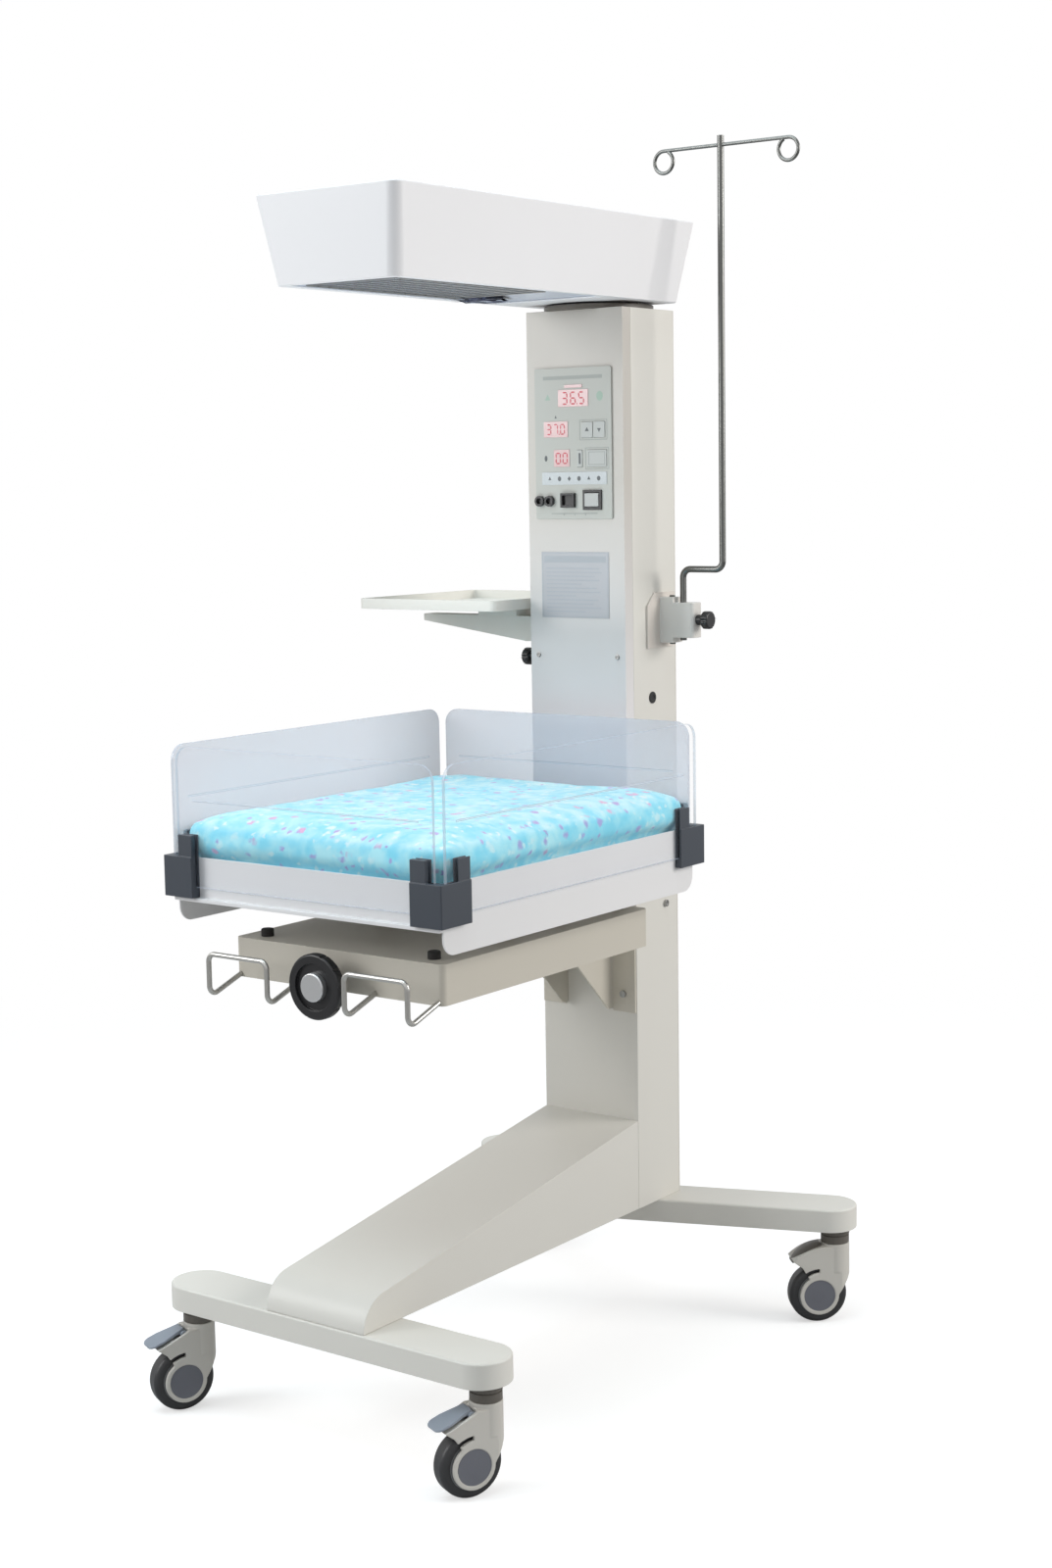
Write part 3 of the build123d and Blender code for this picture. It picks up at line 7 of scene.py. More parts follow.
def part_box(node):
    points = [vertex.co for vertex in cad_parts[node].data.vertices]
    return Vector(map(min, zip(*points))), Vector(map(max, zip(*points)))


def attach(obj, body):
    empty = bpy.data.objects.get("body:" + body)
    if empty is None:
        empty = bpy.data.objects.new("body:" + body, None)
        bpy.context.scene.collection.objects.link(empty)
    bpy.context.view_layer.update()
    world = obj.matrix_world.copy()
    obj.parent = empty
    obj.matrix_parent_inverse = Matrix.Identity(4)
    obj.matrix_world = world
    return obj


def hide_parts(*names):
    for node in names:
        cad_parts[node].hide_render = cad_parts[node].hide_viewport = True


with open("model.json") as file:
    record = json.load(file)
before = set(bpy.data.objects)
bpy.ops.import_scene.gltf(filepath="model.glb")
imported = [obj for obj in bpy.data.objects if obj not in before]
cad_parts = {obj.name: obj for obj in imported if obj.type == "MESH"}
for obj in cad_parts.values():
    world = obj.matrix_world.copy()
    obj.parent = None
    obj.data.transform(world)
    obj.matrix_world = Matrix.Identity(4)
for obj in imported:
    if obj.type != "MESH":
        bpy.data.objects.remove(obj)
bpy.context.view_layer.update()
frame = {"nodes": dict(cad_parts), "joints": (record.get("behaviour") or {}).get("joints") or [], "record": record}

# Studio: a white floor that runs out into a white surround, soft boxes at the left front, the right
# back and above, and the camera of the photograph. Its place and turn were fitted to edges of the
# warmer that are known to be level, upright or square.
mm = 0.001
scene = bpy.context.scene
scene.view_settings.view_transform = "Standard"
column_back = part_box("column_back_cover")[1].y
camera_right, camera_ahead, camera_height = 2281 * mm, 3375.6 * mm, 1453.2 * mm
camera_place = Vector((camera_right, column_back - camera_ahead, camera_height))
camera_yaw = math.radians(36.62)
camera_pitch = math.radians(7.35)
camera_roll = math.radians(-0.92)
focal_pixels = 2386.6
photo_height = 1600
sensor = 36.0
bpy.ops.object.select_all(action="DESELECT")
bpy.ops.object.camera_add()
camera = bpy.context.object
camera.data.sensor_width = sensor
camera.data.lens = focal_pixels / photo_height * sensor
camera.matrix_world = (
    Matrix.Translation(camera_place)
    @ Matrix.Rotation(camera_yaw, 4, "Z")
    @ Matrix.Rotation(math.pi / 2 - camera_pitch, 4, "X")
    @ Matrix.Rotation(camera_roll, 4, "Z")
)
scene.camera = camera
lit_middle = Vector((0, -0.3, 0.95))
soft_boxes = [  # place, size, watts and tone
    ((-2.4, -3.2, 2.4), 1.8, 72.0, (1.0, 1.0, 1.0)),
    ((3.6, 1.7, 2.4), 1.8, 97.0, (1.0, 0.965, 0.93)),
    ((-0.3, -0.9, 4.4), 3.0, 93.0, (0.8, 0.93, 1.0)),
]
for place, size, watts, tone in soft_boxes:
    bpy.ops.object.light_add(type="AREA", location=place)
    lamp = bpy.context.object
    lamp.data.size = size
    lamp.data.energy = watts
    lamp.data.color = tone
    lamp.visible_camera = False
    aim = lit_middle - Vector(place)
    lamp.rotation_euler = aim.to_track_quat("-Z", "Y").to_euler()
bounce_place, bounce_size, bounce_watts = (0, -0.3, 1.2), 0.7, 2.6
bpy.ops.object.light_add(type="AREA", location=bounce_place, rotation=(math.pi, 0, 0))
bounce = bpy.context.object
bounce.data.size = bounce_size
bounce.data.energy = bounce_watts
bounce.visible_camera = False
room_light = 0.35
room_tone = (0.97, 0.985, 1.0, 1)
mirrored_share = 0.85


def seen_itself(nodes, link):
    """The light path, and a socket that is 1 where the camera sees a thing itself or through glass."""
    ray = nodes.new("ShaderNodeLightPath")
    seen = nodes.new("ShaderNodeMath")
    seen.operation = "MAXIMUM"
    link(ray.outputs["Is Camera Ray"], seen.inputs[0])
    link(ray.outputs["Is Transmission Ray"], seen.inputs[1])
    return ray, seen.outputs[0]


world = bpy.data.worlds.new("white_room")
scene.world = world
world.use_nodes = True
nodes = world.node_tree.nodes
link = world.node_tree.links.new
dim = nodes["Background"]
dim.inputs["Color"].default_value = room_tone
dim.inputs["Strength"].default_value = room_light
white = nodes.new("ShaderNodeBackground")
white.inputs["Color"].default_value = (1, 1, 1, 1)
ray, seen = seen_itself(nodes, link)
shiny = nodes.new("ShaderNodeMath")
shiny.operation = "MULTIPLY"
shiny.inputs[1].default_value = mirrored_share
link(ray.outputs["Is Glossy Ray"], shiny.inputs[0])
either = nodes.new("ShaderNodeMath")
either.operation = "MAXIMUM"
link(seen, either.inputs[0])
link(shiny.outputs[0], either.inputs[1])
blend = nodes.new("ShaderNodeMixShader")
link(either.outputs[0], blend.inputs[0])
link(dim.outputs[0], blend.inputs[1])
link(white.outputs[0], blend.inputs[2])
link(blend.outputs[0], nodes["World Output"].inputs["Surface"])

floor_size = 40
floor_grey = (0.6, 0.6, 0.6, 1)
floor_lift = 0.56
shadow_reach, floor_reach = 0.9, 3.2
bpy.ops.mesh.primitive_plane_add(size=floor_size)
floor = bpy.context.object
floor.name = "studio_floor"
floor_paint = bpy.data.materials.new("studio_floor")
floor_paint.use_nodes = True
nodes = floor_paint.node_tree.nodes
link = floor_paint.node_tree.links.new
matt = nodes["Principled BSDF"]
matt.inputs["Base Color"].default_value = floor_grey
matt.inputs["Roughness"].default_value = 0.9
matt.inputs["Specular IOR Level"].default_value = 0.1
ray, seen = seen_itself(nodes, link)
lift = nodes.new("ShaderNodeMath")
lift.operation = "MULTIPLY"
lift.inputs[1].default_value = floor_lift
link(seen, lift.inputs[0])
glow = nodes.new("ShaderNodeEmission")
link(lift.outputs[0], glow.inputs["Strength"])
near = nodes.new("ShaderNodeAddShader")
link(matt.outputs[0], near.inputs[0])
link(glow.outputs[0], near.inputs[1])
surround = nodes.new("ShaderNodeEmission")
level = nodes.new("ShaderNodeMapRange")
level.inputs["To Min"].default_value = room_light
link(seen, level.inputs["Value"])
link(level.outputs[0], surround.inputs["Strength"])
on_floor = nodes.new("ShaderNodeTexCoord")
away = nodes.new("ShaderNodeVectorMath")
away.operation = "LENGTH"
link(on_floor.outputs["Object"], away.inputs[0])
fade = nodes.new("ShaderNodeMapRange")
fade.interpolation_type = "SMOOTHSTEP"
fade.inputs["From Min"].default_value = shadow_reach
fade.inputs["From Max"].default_value = floor_reach
link(away.outputs["Value"], fade.inputs["Value"])
blend = nodes.new("ShaderNodeMixShader")
link(fade.outputs[0], blend.inputs[0])
link(near.outputs[0], blend.inputs[1])
link(surround.outputs[0], blend.inputs[2])
link(blend.outputs[0], nodes["Material Output"].inputs["Surface"])
floor.data.materials.append(floor_paint)

# Base: front bar, rear legs and ramp beam, pressed and welded from sheet steel and powder coated in
# a warm off-white. The coat is thick, so every edge is soft and the surface has a fine orange peel.
record = frame["record"]
body_of = {node: body for body, held in record["behaviour"]["bodies"].items() for node in held}
slot_of = {row["node"]: row["material_slot"] for row in record["subparts"]}
cloud_scale = 7.0
gloss_below, gloss_above = 0.06, 0.08
peel_depth = 0.3 * mm
merge_within = 0.01 * mm
flat_within = math.radians(0.6)
facing = 0.9


def srgb(red, green, blue):
    """A colour read as 0 to 255 on screen, as the shader wants it."""
    def linear(value):
        share = value / 255
        return share / 12.92 if share <= 0.04045 else ((share + 0.055) / 1.055) ** 2.4
    return linear(red), linear(green), linear(blue), 1.0


def coat(name, colour, rough=0.45, uneven=0.05, peel=0.12, grain=700.0, metal=0.0, drawn=None):
    """A finish with cloudy colour, cloudy gloss and fine grain; drawn stretches the grain along one axis."""
    made = bpy.data.materials.new(name)
    made.use_nodes = True
    nodes = made.node_tree.nodes
    link = made.node_tree.links.new
    shader = nodes["Principled BSDF"]
    shader.inputs["Metallic"].default_value = metal
    spot = nodes.new("ShaderNodeTexCoord")
    cloud = nodes.new("ShaderNodeTexNoise")
    cloud.inputs["Scale"].default_value = cloud_scale
    cloud.inputs["Detail"].default_value = 4.0
    link(spot.outputs["Object"], cloud.inputs["Vector"])
    tint = nodes.new("ShaderNodeMix")
    tint.data_type = "RGBA"
    tint.inputs["A"].default_value = tuple(c * (1 - uneven) for c in colour[:3]) + (1,)
    tint.inputs["B"].default_value = tuple(min(1, c * (1 + uneven)) for c in colour[:3]) + (1,)
    link(cloud.outputs["Fac"], tint.inputs["Factor"])
    link(tint.outputs["Result"], shader.inputs["Base Color"])
    stretch = nodes.new("ShaderNodeMapping")
    if drawn:
        stretch.inputs["Scale"].default_value = drawn
    link(spot.outputs["Object"], stretch.inputs["Vector"])
    fine = nodes.new("ShaderNodeTexNoise")
    fine.inputs["Scale"].default_value = grain
    fine.inputs["Detail"].default_value = 2.0
    link(stretch.outputs["Vector"], fine.inputs["Vector"])
    gloss = nodes.new("ShaderNodeMapRange")
    gloss.inputs["To Min"].default_value = rough - gloss_below
    gloss.inputs["To Max"].default_value = rough + gloss_above
    link(fine.outputs["Fac"], gloss.inputs["Value"])
    link(gloss.outputs[0], shader.inputs["Roughness"])
    bump = nodes.new("ShaderNodeBump")
    bump.inputs["Strength"].default_value = peel
    bump.inputs["Distance"].default_value = peel_depth
    link(fine.outputs["Fac"], bump.inputs["Height"])
    link(bump.outputs["Normal"], shader.inputs["Normal"])
    return made


def only(piece):
    """Selects one object and nothing else."""
    bpy.ops.object.select_all(action="DESELECT")
    piece.select_set(True)
    bpy.context.view_layer.objects.active = piece


def settle(piece, body, slot, *stands_for):
    """Freezes a piece at its place, ties it to its body and hides the nodes it stands for. The slot is not used.
    """
    only(piece)
    bpy.ops.object.transform_apply(location=True, rotation=True, scale=True)
    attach(piece, body)
    if stands_for:
        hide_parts(*stands_for)
    return piece


def merged_copy(node, name):
    """The node's mesh as one clean shell that can be worked on by hand."""
    piece = bpy.data.objects.new(name, frame["nodes"][node].data.copy())
    scene.collection.objects.link(piece)
    only(piece)
    bpy.ops.object.mode_set(mode="EDIT")
    bpy.ops.mesh.customdata_custom_splitnormals_clear()
    bpy.ops.mesh.select_all(action="SELECT")
    bpy.ops.mesh.remove_doubles(threshold=merge_within)
    bpy.ops.mesh.dissolve_limited(angle_limit=flat_within)
    bpy.ops.object.mode_set(mode="OBJECT")
    piece.data.materials.clear()
    return piece


def soften(piece, edge, smooth=38.0):
    """Rounds the sharp edges and shades the rest smooth, with flat faces left flat."""
    only(piece)
    if edge:
        bevel = piece.modifiers.new("edges", "BEVEL")
        bevel.width = edge * mm
        bevel.segments = 2
        bevel.limit_method = "ANGLE"
        bevel.angle_limit = math.radians(smooth)
        bevel.use_clamp_overlap = False
        bpy.ops.object.modifier_apply(modifier="edges")
    bpy.ops.object.shade_smooth_by_angle(angle=math.radians(smooth))
    flat = piece.modifiers.new("flat", "WEIGHTED_NORMAL")
    flat.keep_sharp = True
    bpy.ops.object.modifier_apply(modifier="flat")


def finish_node(node, material, edge=0.8):
    """A pressed or moulded piece with soft edges and its own finish, in place of the bare node."""
    piece = merged_copy(node, node + "_finished")
    soften(piece, edge)
    piece.data.materials.append(material)
    return settle(piece, body_of[node], slot_of[node], node)


cream = coat("cream_powder_coat", srgb(222, 220, 213), rough=0.42, uneven=0.015)
bar_edge, ramp_edge = 0.8, 1.6
finish_node("front_bar", cream, bar_edge)
finish_node("rear_leg_bar", cream, bar_edge)
finish_node("ramp_beam", cream, ramp_edge)

# Casters: a moulded twin-cheek cowl turns on a steel stem under each bar end and carries a rubber
# tyre on a nylon hub. A blue-grey disc snaps into each cheek, and the front pair has a brake pedal.
joint_named = {joint["name"]: joint for joint in frame["joints"]}
cowl_plastic = coat("cowl_plastic", srgb(202, 199, 192), rough=0.38, uneven=0.02, peel=0.06)
disc_plastic = coat("disc_plastic", srgb(104, 106, 114), rough=0.5, uneven=0.04, peel=0.1)
pedal_plastic = coat("pedal_plastic", srgb(138, 146, 157), rough=0.45, uneven=0.04)
tyre_rubber = coat("tyre_rubber", srgb(43, 43, 45), rough=0.42, uneven=0.12, peel=0.2, grain=900.0)
hub_nylon = coat("hub_nylon", srgb(120, 122, 124), rough=0.5, uneven=0.05)
collar_steel = coat("collar_steel", srgb(92, 87, 80), rough=0.4, uneven=0.08, peel=0.05)
cowl_voxel = 1.0 * mm
cowl_relaxing = 7
cowl_kept_share = 0.3
cheek_half_width = 24 * mm
recess_depth = 1.5 * mm
disc_radius = 27.1 * mm
disc_depth = 1.3 * mm
disc_steps = ((2.2 * mm, -0.5 * mm), (14 * mm, 0.3 * mm), (2 * mm, 0.7 * mm))
axle_trail = 32 * mm
axle_height = 50 * mm


def caster_place(corner):
    """Where a caster's stem stands and how far the caster has swung round it."""
    stem = joint_named["swivel_" + corner]["pos_m"]
    axle = joint_named["roll_" + corner]["axis"]
    turn = Matrix.Rotation(math.atan2(axle[1], axle[0]), 4, "Z")
    return Matrix.Translation((stem[0], stem[1], 0)) @ turn


def moulded_cowl(corner):
    """The cowl remeshed and relaxed, so that its edges have the soft rounds of a moulding."""
    piece = merged_copy("caster_fork_" + corner, "cowl")
    piece.data.remesh_voxel_size = cowl_voxel
    bpy.ops.object.voxel_remesh()
    relax = piece.modifiers.new("relax", "SMOOTH")
    relax.factor = 0.5
    relax.iterations = cowl_relaxing
    bpy.ops.object.modifier_apply(modifier="relax")
    thin = piece.modifiers.new("thin", "DECIMATE")
    thin.ratio = cowl_kept_share
    bpy.ops.object.modifier_apply(modifier="thin")
    bpy.ops.object.shade_smooth()
    piece.data.materials.clear()
    piece.data.materials.append(cowl_plastic)
    piece.data.transform(caster_place(corner).inverted())
    return piece


def hub_disc(side):
    """A shallow dished disc with a rolled rim and a small centre boss, in the cheek's recess."""
    bpy.ops.object.select_all(action="DESELECT")
    outer = side * cheek_half_width
    middle = outer - side * (recess_depth - disc_depth / 2)
    bpy.ops.mesh.primitive_cylinder_add(
        vertices=64, radius=disc_radius, depth=disc_depth,
        location=(middle, -axle_trail, axle_height), rotation=(0, math.pi / 2, 0),
    )
    disc = bpy.context.object
    bpy.ops.object.transform_apply(location=True, rotation=True, scale=True)
    bpy.ops.object.mode_set(mode="EDIT")
    bpy.ops.mesh.select_all(action="DESELECT")
    bpy.ops.object.mode_set(mode="OBJECT")
    for face in disc.data.polygons:
        face.select = face.normal.x * side > facing
    bpy.ops.object.mode_set(mode="EDIT")
    bpy.ops.mesh.select_mode(type="FACE")
    for inward, raised in disc_steps:
        bpy.ops.mesh.inset(thickness=inward, depth=raised)
    bpy.ops.object.mode_set(mode="OBJECT")
    soften(disc, 0.35)
    disc.data.materials.append(disc_plastic)
    return disc


lip_half_width, lip_flare, lip_crown, lip_thickness = 15 * mm, 5 * mm, 1.4 * mm, 4.2 * mm


def brake_lip():
    """The dark lever that lies along the back of a rear cowl when its brake is off."""
    neck = Vector((0, -27 * mm, 139 * mm))
    bulge = Vector((0, -59 * mm, 133 * mm))
    tip = Vector((0, -79 * mm, 108 * mm))
    bpy.ops.object.select_all(action="DESELECT")
    bpy.ops.mesh.primitive_plane_add(size=1)
    lip = bpy.context.object
    bpy.ops.object.mode_set(mode="EDIT")
    bpy.ops.mesh.subdivide(number_cuts=5)
    bpy.ops.object.mode_set(mode="OBJECT")
    for point in lip.data.vertices:
        along = point.co.y + 0.5
        around = point.co.x * 2
        near_by = neck.lerp(bulge, along) * (1 - along) + bulge.lerp(tip, along) * along
        width = lip_half_width + lip_flare * math.sin(math.pi * min(1, along * 1.2))
        sink = Vector((0, lip_crown, -lip_crown)) * around ** 2
        point.co = near_by + Vector((around * width, 0, 0)) + sink
    only(lip)
    bpy.ops.object.mode_set(mode="EDIT")
    bpy.ops.mesh.select_all(action="SELECT")
    bpy.ops.mesh.normals_make_consistent(inside=False)
    bpy.ops.object.mode_set(mode="OBJECT")
    wall = lip.modifiers.new("wall", "SOLIDIFY")
    wall.thickness = lip_thickness
    wall.offset = 0
    bpy.ops.object.modifier_apply(modifier="wall")
    round_off = lip.modifiers.new("round", "SUBSURF")
    round_off.levels = round_off.render_levels = 2
    bpy.ops.object.modifier_apply(modifier="round")
    bpy.ops.object.shade_smooth()
    lip.data.materials.append(collar_steel)
    return lip


def copied(piece, name, corner):
    """A copy with its own mesh, stood at one caster's place."""
    twin = bpy.data.objects.new(name, piece.data.copy())
    scene.collection.objects.link(twin)
    twin.data.transform(caster_place(corner))
    return twin


discs = {"inner": hub_disc(-1), "outer": hub_disc(1)}
rear_lip = brake_lip()
for end in ("front", "rear"):
    cowl = moulded_cowl(end + "_left")
    for corner in (end + "_left", end + "_right"):
        fork_body = body_of["caster_fork_" + corner]
        twin = copied(cowl, "cowl_" + corner, corner)
        settle(twin, fork_body, "caster_housing", "caster_fork_" + corner)
        for cheek, disc in discs.items():
            settle(copied(disc, "disc_" + cheek + "_" + corner, corner), fork_body, "caster_hub")
        if end == "rear":
            settle(copied(rear_lip, "brake_lip_" + corner, corner), fork_body, "dark_steel")
        else:
            finish_node("brake_pedal_" + corner, pedal_plastic, 1.4)
        finish_node("caster_tyre_" + corner, tyre_rubber, 0)
        finish_node("caster_hub_" + corner, hub_nylon, 0.8)
    bpy.data.objects.remove(cowl)
for model in (*discs.values(), rear_lip):
    bpy.data.objects.remove(model)
finish_node("caster_collars", collar_steel, 0.8)

# Column: a folded steel channel closed by a back cover, with a second folded cover hung on its front.
# The channel is warm off-white like the base. The front cover is a cooler grey paint and is screwed on.
# Towards the top a darker, warmer tone fades in with height. It is painted shade for the hood's shadow on the
# cover.
cover_grey = coat("cover_grey_paint", srgb(228, 226, 227), rough=0.4, uneven=0.02)
fade_low, fade_high = 1.05, 1.45
# Painted shade: the tone that the cover is multiplied by near the hood.
hood_shade_tone = (0.69, 0.67, 0.61, 1)
nodes = cover_grey.node_tree.nodes
link = cover_grey.node_tree.links.new
spot = nodes.new("ShaderNodeTexCoord")
apart = nodes.new("ShaderNodeSeparateXYZ")
link(spot.outputs["Object"], apart.inputs[0])
up = nodes.new("ShaderNodeMapRange")
up.inputs["From Min"].default_value = fade_low
up.inputs["From Max"].default_value = fade_high
link(apart.outputs["Z"], up.inputs["Value"])
hood_shade_mix = nodes.new("ShaderNodeMix")
hood_shade_mix.data_type = "RGBA"
hood_shade_mix.blend_type = "MULTIPLY"
hood_shade_mix.inputs["B"].default_value = hood_shade_tone
link(up.outputs[0], hood_shade_mix.inputs["Factor"])
link(nodes["Mix"].outputs["Result"], hood_shade_mix.inputs["A"])
link(hood_shade_mix.outputs["Result"], nodes["Principled BSDF"].inputs["Base Color"])
finish_node("column_shell", cream, 0.9)
finish_node("column_back_cover", cream, 0.7)
finish_node("column_front_cover", cover_grey, 0.9)

# Fasteners: zinc-plated screws on both covers, bolts through the gusset flanges and the side, and one
# black plug that closes a wiring hole. Each head has a round-bottomed driver recess.
zinc = coat("zinc_plate", srgb(168, 168, 166), rough=0.3, uneven=0.05, peel=0.05, metal=1.0)
black_plastic = coat("black_plastic", srgb(30, 30, 32), rough=0.32, uneven=0.1, peel=0.05)
recess_share = 0.5
driver_depth = 0.9 * mm
plug_radius_least = 9 * mm


def joined(pieces, name):
    """Several objects made one."""
    bpy.ops.object.select_all(action="DESELECT")
    for piece in pieces:
        piece.select_set(True)
    bpy.context.view_layer.objects.active = pieces[0]
    bpy.ops.object.join()
    pieces[0].name = name
    return pieces[0]


merged_copy("column_fasteners", "fasteners")
bpy.ops.object.mode_set(mode="EDIT")
bpy.ops.mesh.separate(type="LOOSE")
bpy.ops.object.mode_set(mode="OBJECT")
heads = list(bpy.context.selected_objects)
shell_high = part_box("column_shell")[1]
for head in heads:
    centre = sum((v.co for v in head.data.vertices), Vector()) / len(head.data.vertices)
    if centre.x > shell_high.x:
        out = Vector((1, 0, 0))
    else:
        out = Vector((0, 1 if centre.y > shell_high.y else -1, 0))
    only(head)
    bpy.ops.object.mode_set(mode="EDIT")
    bpy.ops.mesh.select_mode(type="FACE")
    bpy.ops.mesh.select_all(action="DESELECT")
    bpy.ops.object.mode_set(mode="OBJECT")
    for face in head.data.polygons:
        face.select = face.normal.dot(out) > facing
    radius = max(head.dimensions) / 2
    bpy.ops.object.mode_set(mode="EDIT")
    bpy.ops.mesh.inset(thickness=radius * recess_share, depth=0)
    bpy.ops.mesh.extrude_region_shrink_fatten(
        TRANSFORM_OT_shrink_fatten={"value": -driver_depth})
    bpy.ops.object.mode_set(mode="OBJECT")
    soften(head, 0.3)
    is_plug = out.x > 0.5 and radius > plug_radius_least
    head.data.materials.clear()
    head.data.materials.append(black_plastic if is_plug else zinc)
settle(joined(heads, "column_screws"), "frame", "bright_steel", "column_fasteners")

# Mains inlet: a black moulded plastic socket with three plated pins in its well, screwed to the back
# cover near the floor.
inlet = merged_copy("mains_inlet", "mains_inlet_finished")
soften(inlet, 0.5)
inlet.data.materials.append(black_plastic)
inlet.data.materials.append(zinc)
inlet_low, inlet_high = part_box("mains_inlet")
inlet_z = (inlet_low.z + inlet_high.z) / 2
pin_reach, pin_half_height, pin_root = 16 * mm, 3 * mm, 2.2 * mm
for face in inlet.data.polygons:
    on_row = abs(face.center.z - inlet_z) < pin_half_height and abs(face.center.x) < pin_reach
    face.material_index = 1 if on_row and face.center.y > inlet_low.y + pin_root else 0
settle(inlet, "frame", "black_plastic", "mains_inlet")

# Control panel: a printed polyester film on a metal plate, with tinted windows over red digit
# displays, four pressing keys, two probe sockets, a data socket and a rocker switch in its frame.
film = coat("panel_film", srgb(182, 184, 178), rough=0.5, uneven=0.02, peel=0.08)
window_tint = coat("window_tint", srgb(206, 172, 172), rough=0.16, uneven=0.03, peel=0.02)
strip_tint = coat("strip_tint", srgb(186, 192, 194), rough=0.25, uneven=0.02, peel=0.02)
digit_red = coat("digit_red", srgb(186, 62, 74), rough=0.3, uneven=0.05, peel=0.02)
print_grey = coat("print_grey", srgb(158, 162, 158), rough=0.5, uneven=0.03, peel=0.02)
print_green = coat("print_green", srgb(158, 180, 166), rough=0.5, uneven=0.03, peel=0.02)
print_dark = coat("print_dark", srgb(92, 96, 98), rough=0.5, uneven=0.03, peel=0.02)
key_film = coat("key_film", srgb(184, 187, 184), rough=0.5, uneven=0.03)
finish_node("control_panel", film, 0.4)
panel_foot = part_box("control_panel")[0].z
windows = merged_copy("display_windows", "display_windows_finished")
soften(windows, 0.2)
windows.data.materials.append(window_tint)
windows.data.materials.append(strip_tint)
strip_top = panel_foot + 81 * mm
for face in windows.data.polygons:
    face.material_index = 1 if face.center.z < strip_top else 0
settle(windows, "frame", "dark_window", "display_windows")
for key in ("mode_key_left", "mode_key_right", "step_key", "timer_key"):
    finish_node(key, key_film, 0.5)
finish_node("panel_fittings", black_plastic, 0.5)
rocker_grey = coat("rocker_grey", srgb(178, 180, 178), rough=0.4, uneven=0.03)
finish_node("power_rocker", rocker_grey, 0.9)
ink = 0.15 * mm
on_film, on_window, on_key = (
    (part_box(node)[0].y, panel_foot) for node in ("control_panel", "display_windows", "timer_key"))


def printed(x, z, width, height, sides, surface, material, turn=0.0):
    """One printed shape: a thin flat stud with that many sides, z mm above the surface's foot."""
    surface_y, foot = surface
    bpy.ops.object.select_all(action="DESELECT")
    bpy.ops.mesh.primitive_cylinder_add(
        vertices=sides, radius=0.5, depth=2 * ink, location=(x * mm, surface_y, foot + z * mm),
        rotation=(math.pi / 2, math.radians(turn), 0),
    )
    shape = bpy.context.object
    shape.scale = (width * mm, height * mm, 1)
    shape.data.materials.append(material)
    return shape


segment_places = {
    "a": (0, 1, 90), "b": (0.5, 0.5, 0), "c": (0.5, -0.5, 0), "d": (0, -1, 90),
    "e": (-0.5, -0.5, 0), "f": (-0.5, 0.5, 0), "g": (0, 0, 90),
}
stroke_share, segment_share, stop_width = 0.16, 0.46, 2.2
segments_of = {"0": "abcdef", "3": "abcdg", "5": "acdfg", "6": "acdefg", "7": "abc"}


def digits(text, x, z, height, pitch, name):
    """A row of seven-segment digits behind the window's tint; a full stop is a round dot."""
    shapes = []
    left = x - pitch * (len(text.replace(".", "")) - 1) / 2
    for mark in text:
        if mark == ".":
            shapes.append(printed(left - pitch / 2, z - height / 2, stop_width, stop_width, 16,
                                  on_window, digit_red))
            continue
        for segment in segments_of[mark]:
            across, up, turn = segment_places[segment]
            shapes.append(printed(left + across * height * 0.5, z + up * height / 2, height * stroke_share,
                                  height * segment_share, 6, on_window, digit_red, turn))
        left += pitch
    settle(joined(shapes, name), "frame", "dark_window")


digits("36.5", -0.5, 200, 19, 17, "temperature_digits")
digits("37.0", -36.5, 149, 16, 14, "set_digits")
digits("00", -25, 101, 17, 14, "timer_digits")


def bar(x0, x1, z0, z1, surface, material):
    """A printed bar between two corners, in mm above the surface's foot."""
    surface_y, foot = surface
    middle_z = foot + (z0 + z1) / 2 * mm
    bpy.ops.object.select_all(action="DESELECT")
    bpy.ops.mesh.primitive_cube_add(size=1, location=((x0 + x1) / 2 * mm, surface_y, middle_z))
    shape = bpy.context.object
    shape.scale = ((x1 - x0) * mm, 2 * ink, (z1 - z0) * mm)
    shape.data.materials.append(material)
    return shape


def outline(x0, x1, z0, z1, line, surface, material):
    """Four printed bars round a rectangle."""
    return [
        bar(x0, x1, z0, z0 + line, surface, material),
        bar(x0, x1, z1 - line, z1, surface, material),
        bar(x0, x0 + line, z0 + line, z1 - line, surface, material),
        bar(x1 - line, x1, z0 + line, z1 - line, surface, material),
    ]


heading_bar = bar(-62, 58, 231, 237, on_film, print_grey)
by_the_readings = [
    printed(-53, 201, 13, 13, 3, on_film, print_green),
    printed(53, 202, 13, 16, 20, on_film, print_green),
    printed(-37, 169, 5, 7, 3, on_film, print_dark),
    printed(-58, 101, 6, 10, 12, on_film, print_dark),
]
round_mode_keys = outline(11.5, 67.5, 130, 164, 1.4, on_film, print_grey)
round_timer_keys = outline(22.5, 70.5, 82, 118, 1.4, on_film, print_grey)
over_foot_line = [printed(x, 7, 3, 3, 12, on_film, print_grey) for x in (-22, 0, 22)]
foot_line = bar(-48, 46, 8, 10, on_film, print_grey)
marks = [heading_bar, *by_the_readings, *round_mode_keys, *round_timer_keys, *over_foot_line, foot_line]
settle(joined(marks, "panel_print"), "frame", "panel_film")
symbol_sides = (3, 12, 4, 12, 3, 12)
symbols = [printed(-50 + row * 20, 67, 7, 8, sides, on_window, print_dark)
           for row, sides in enumerate(symbol_sides)]
settle(joined(symbols, "symbol_print"), "frame", "dark_window")
key_marks = {
    "mode_key_left": [printed(27.2, 147, 9, 9, 3, on_key, print_dark)],
    "mode_key_right": [printed(51.8, 147, 9, 9, 3, on_key, print_dark, 180)],
    "step_key": [bar(10, 14, 91, 109, on_key, print_dark)],
    "timer_key": outline(30, 63, 89, 111, 1.2, on_key, print_grey),
}
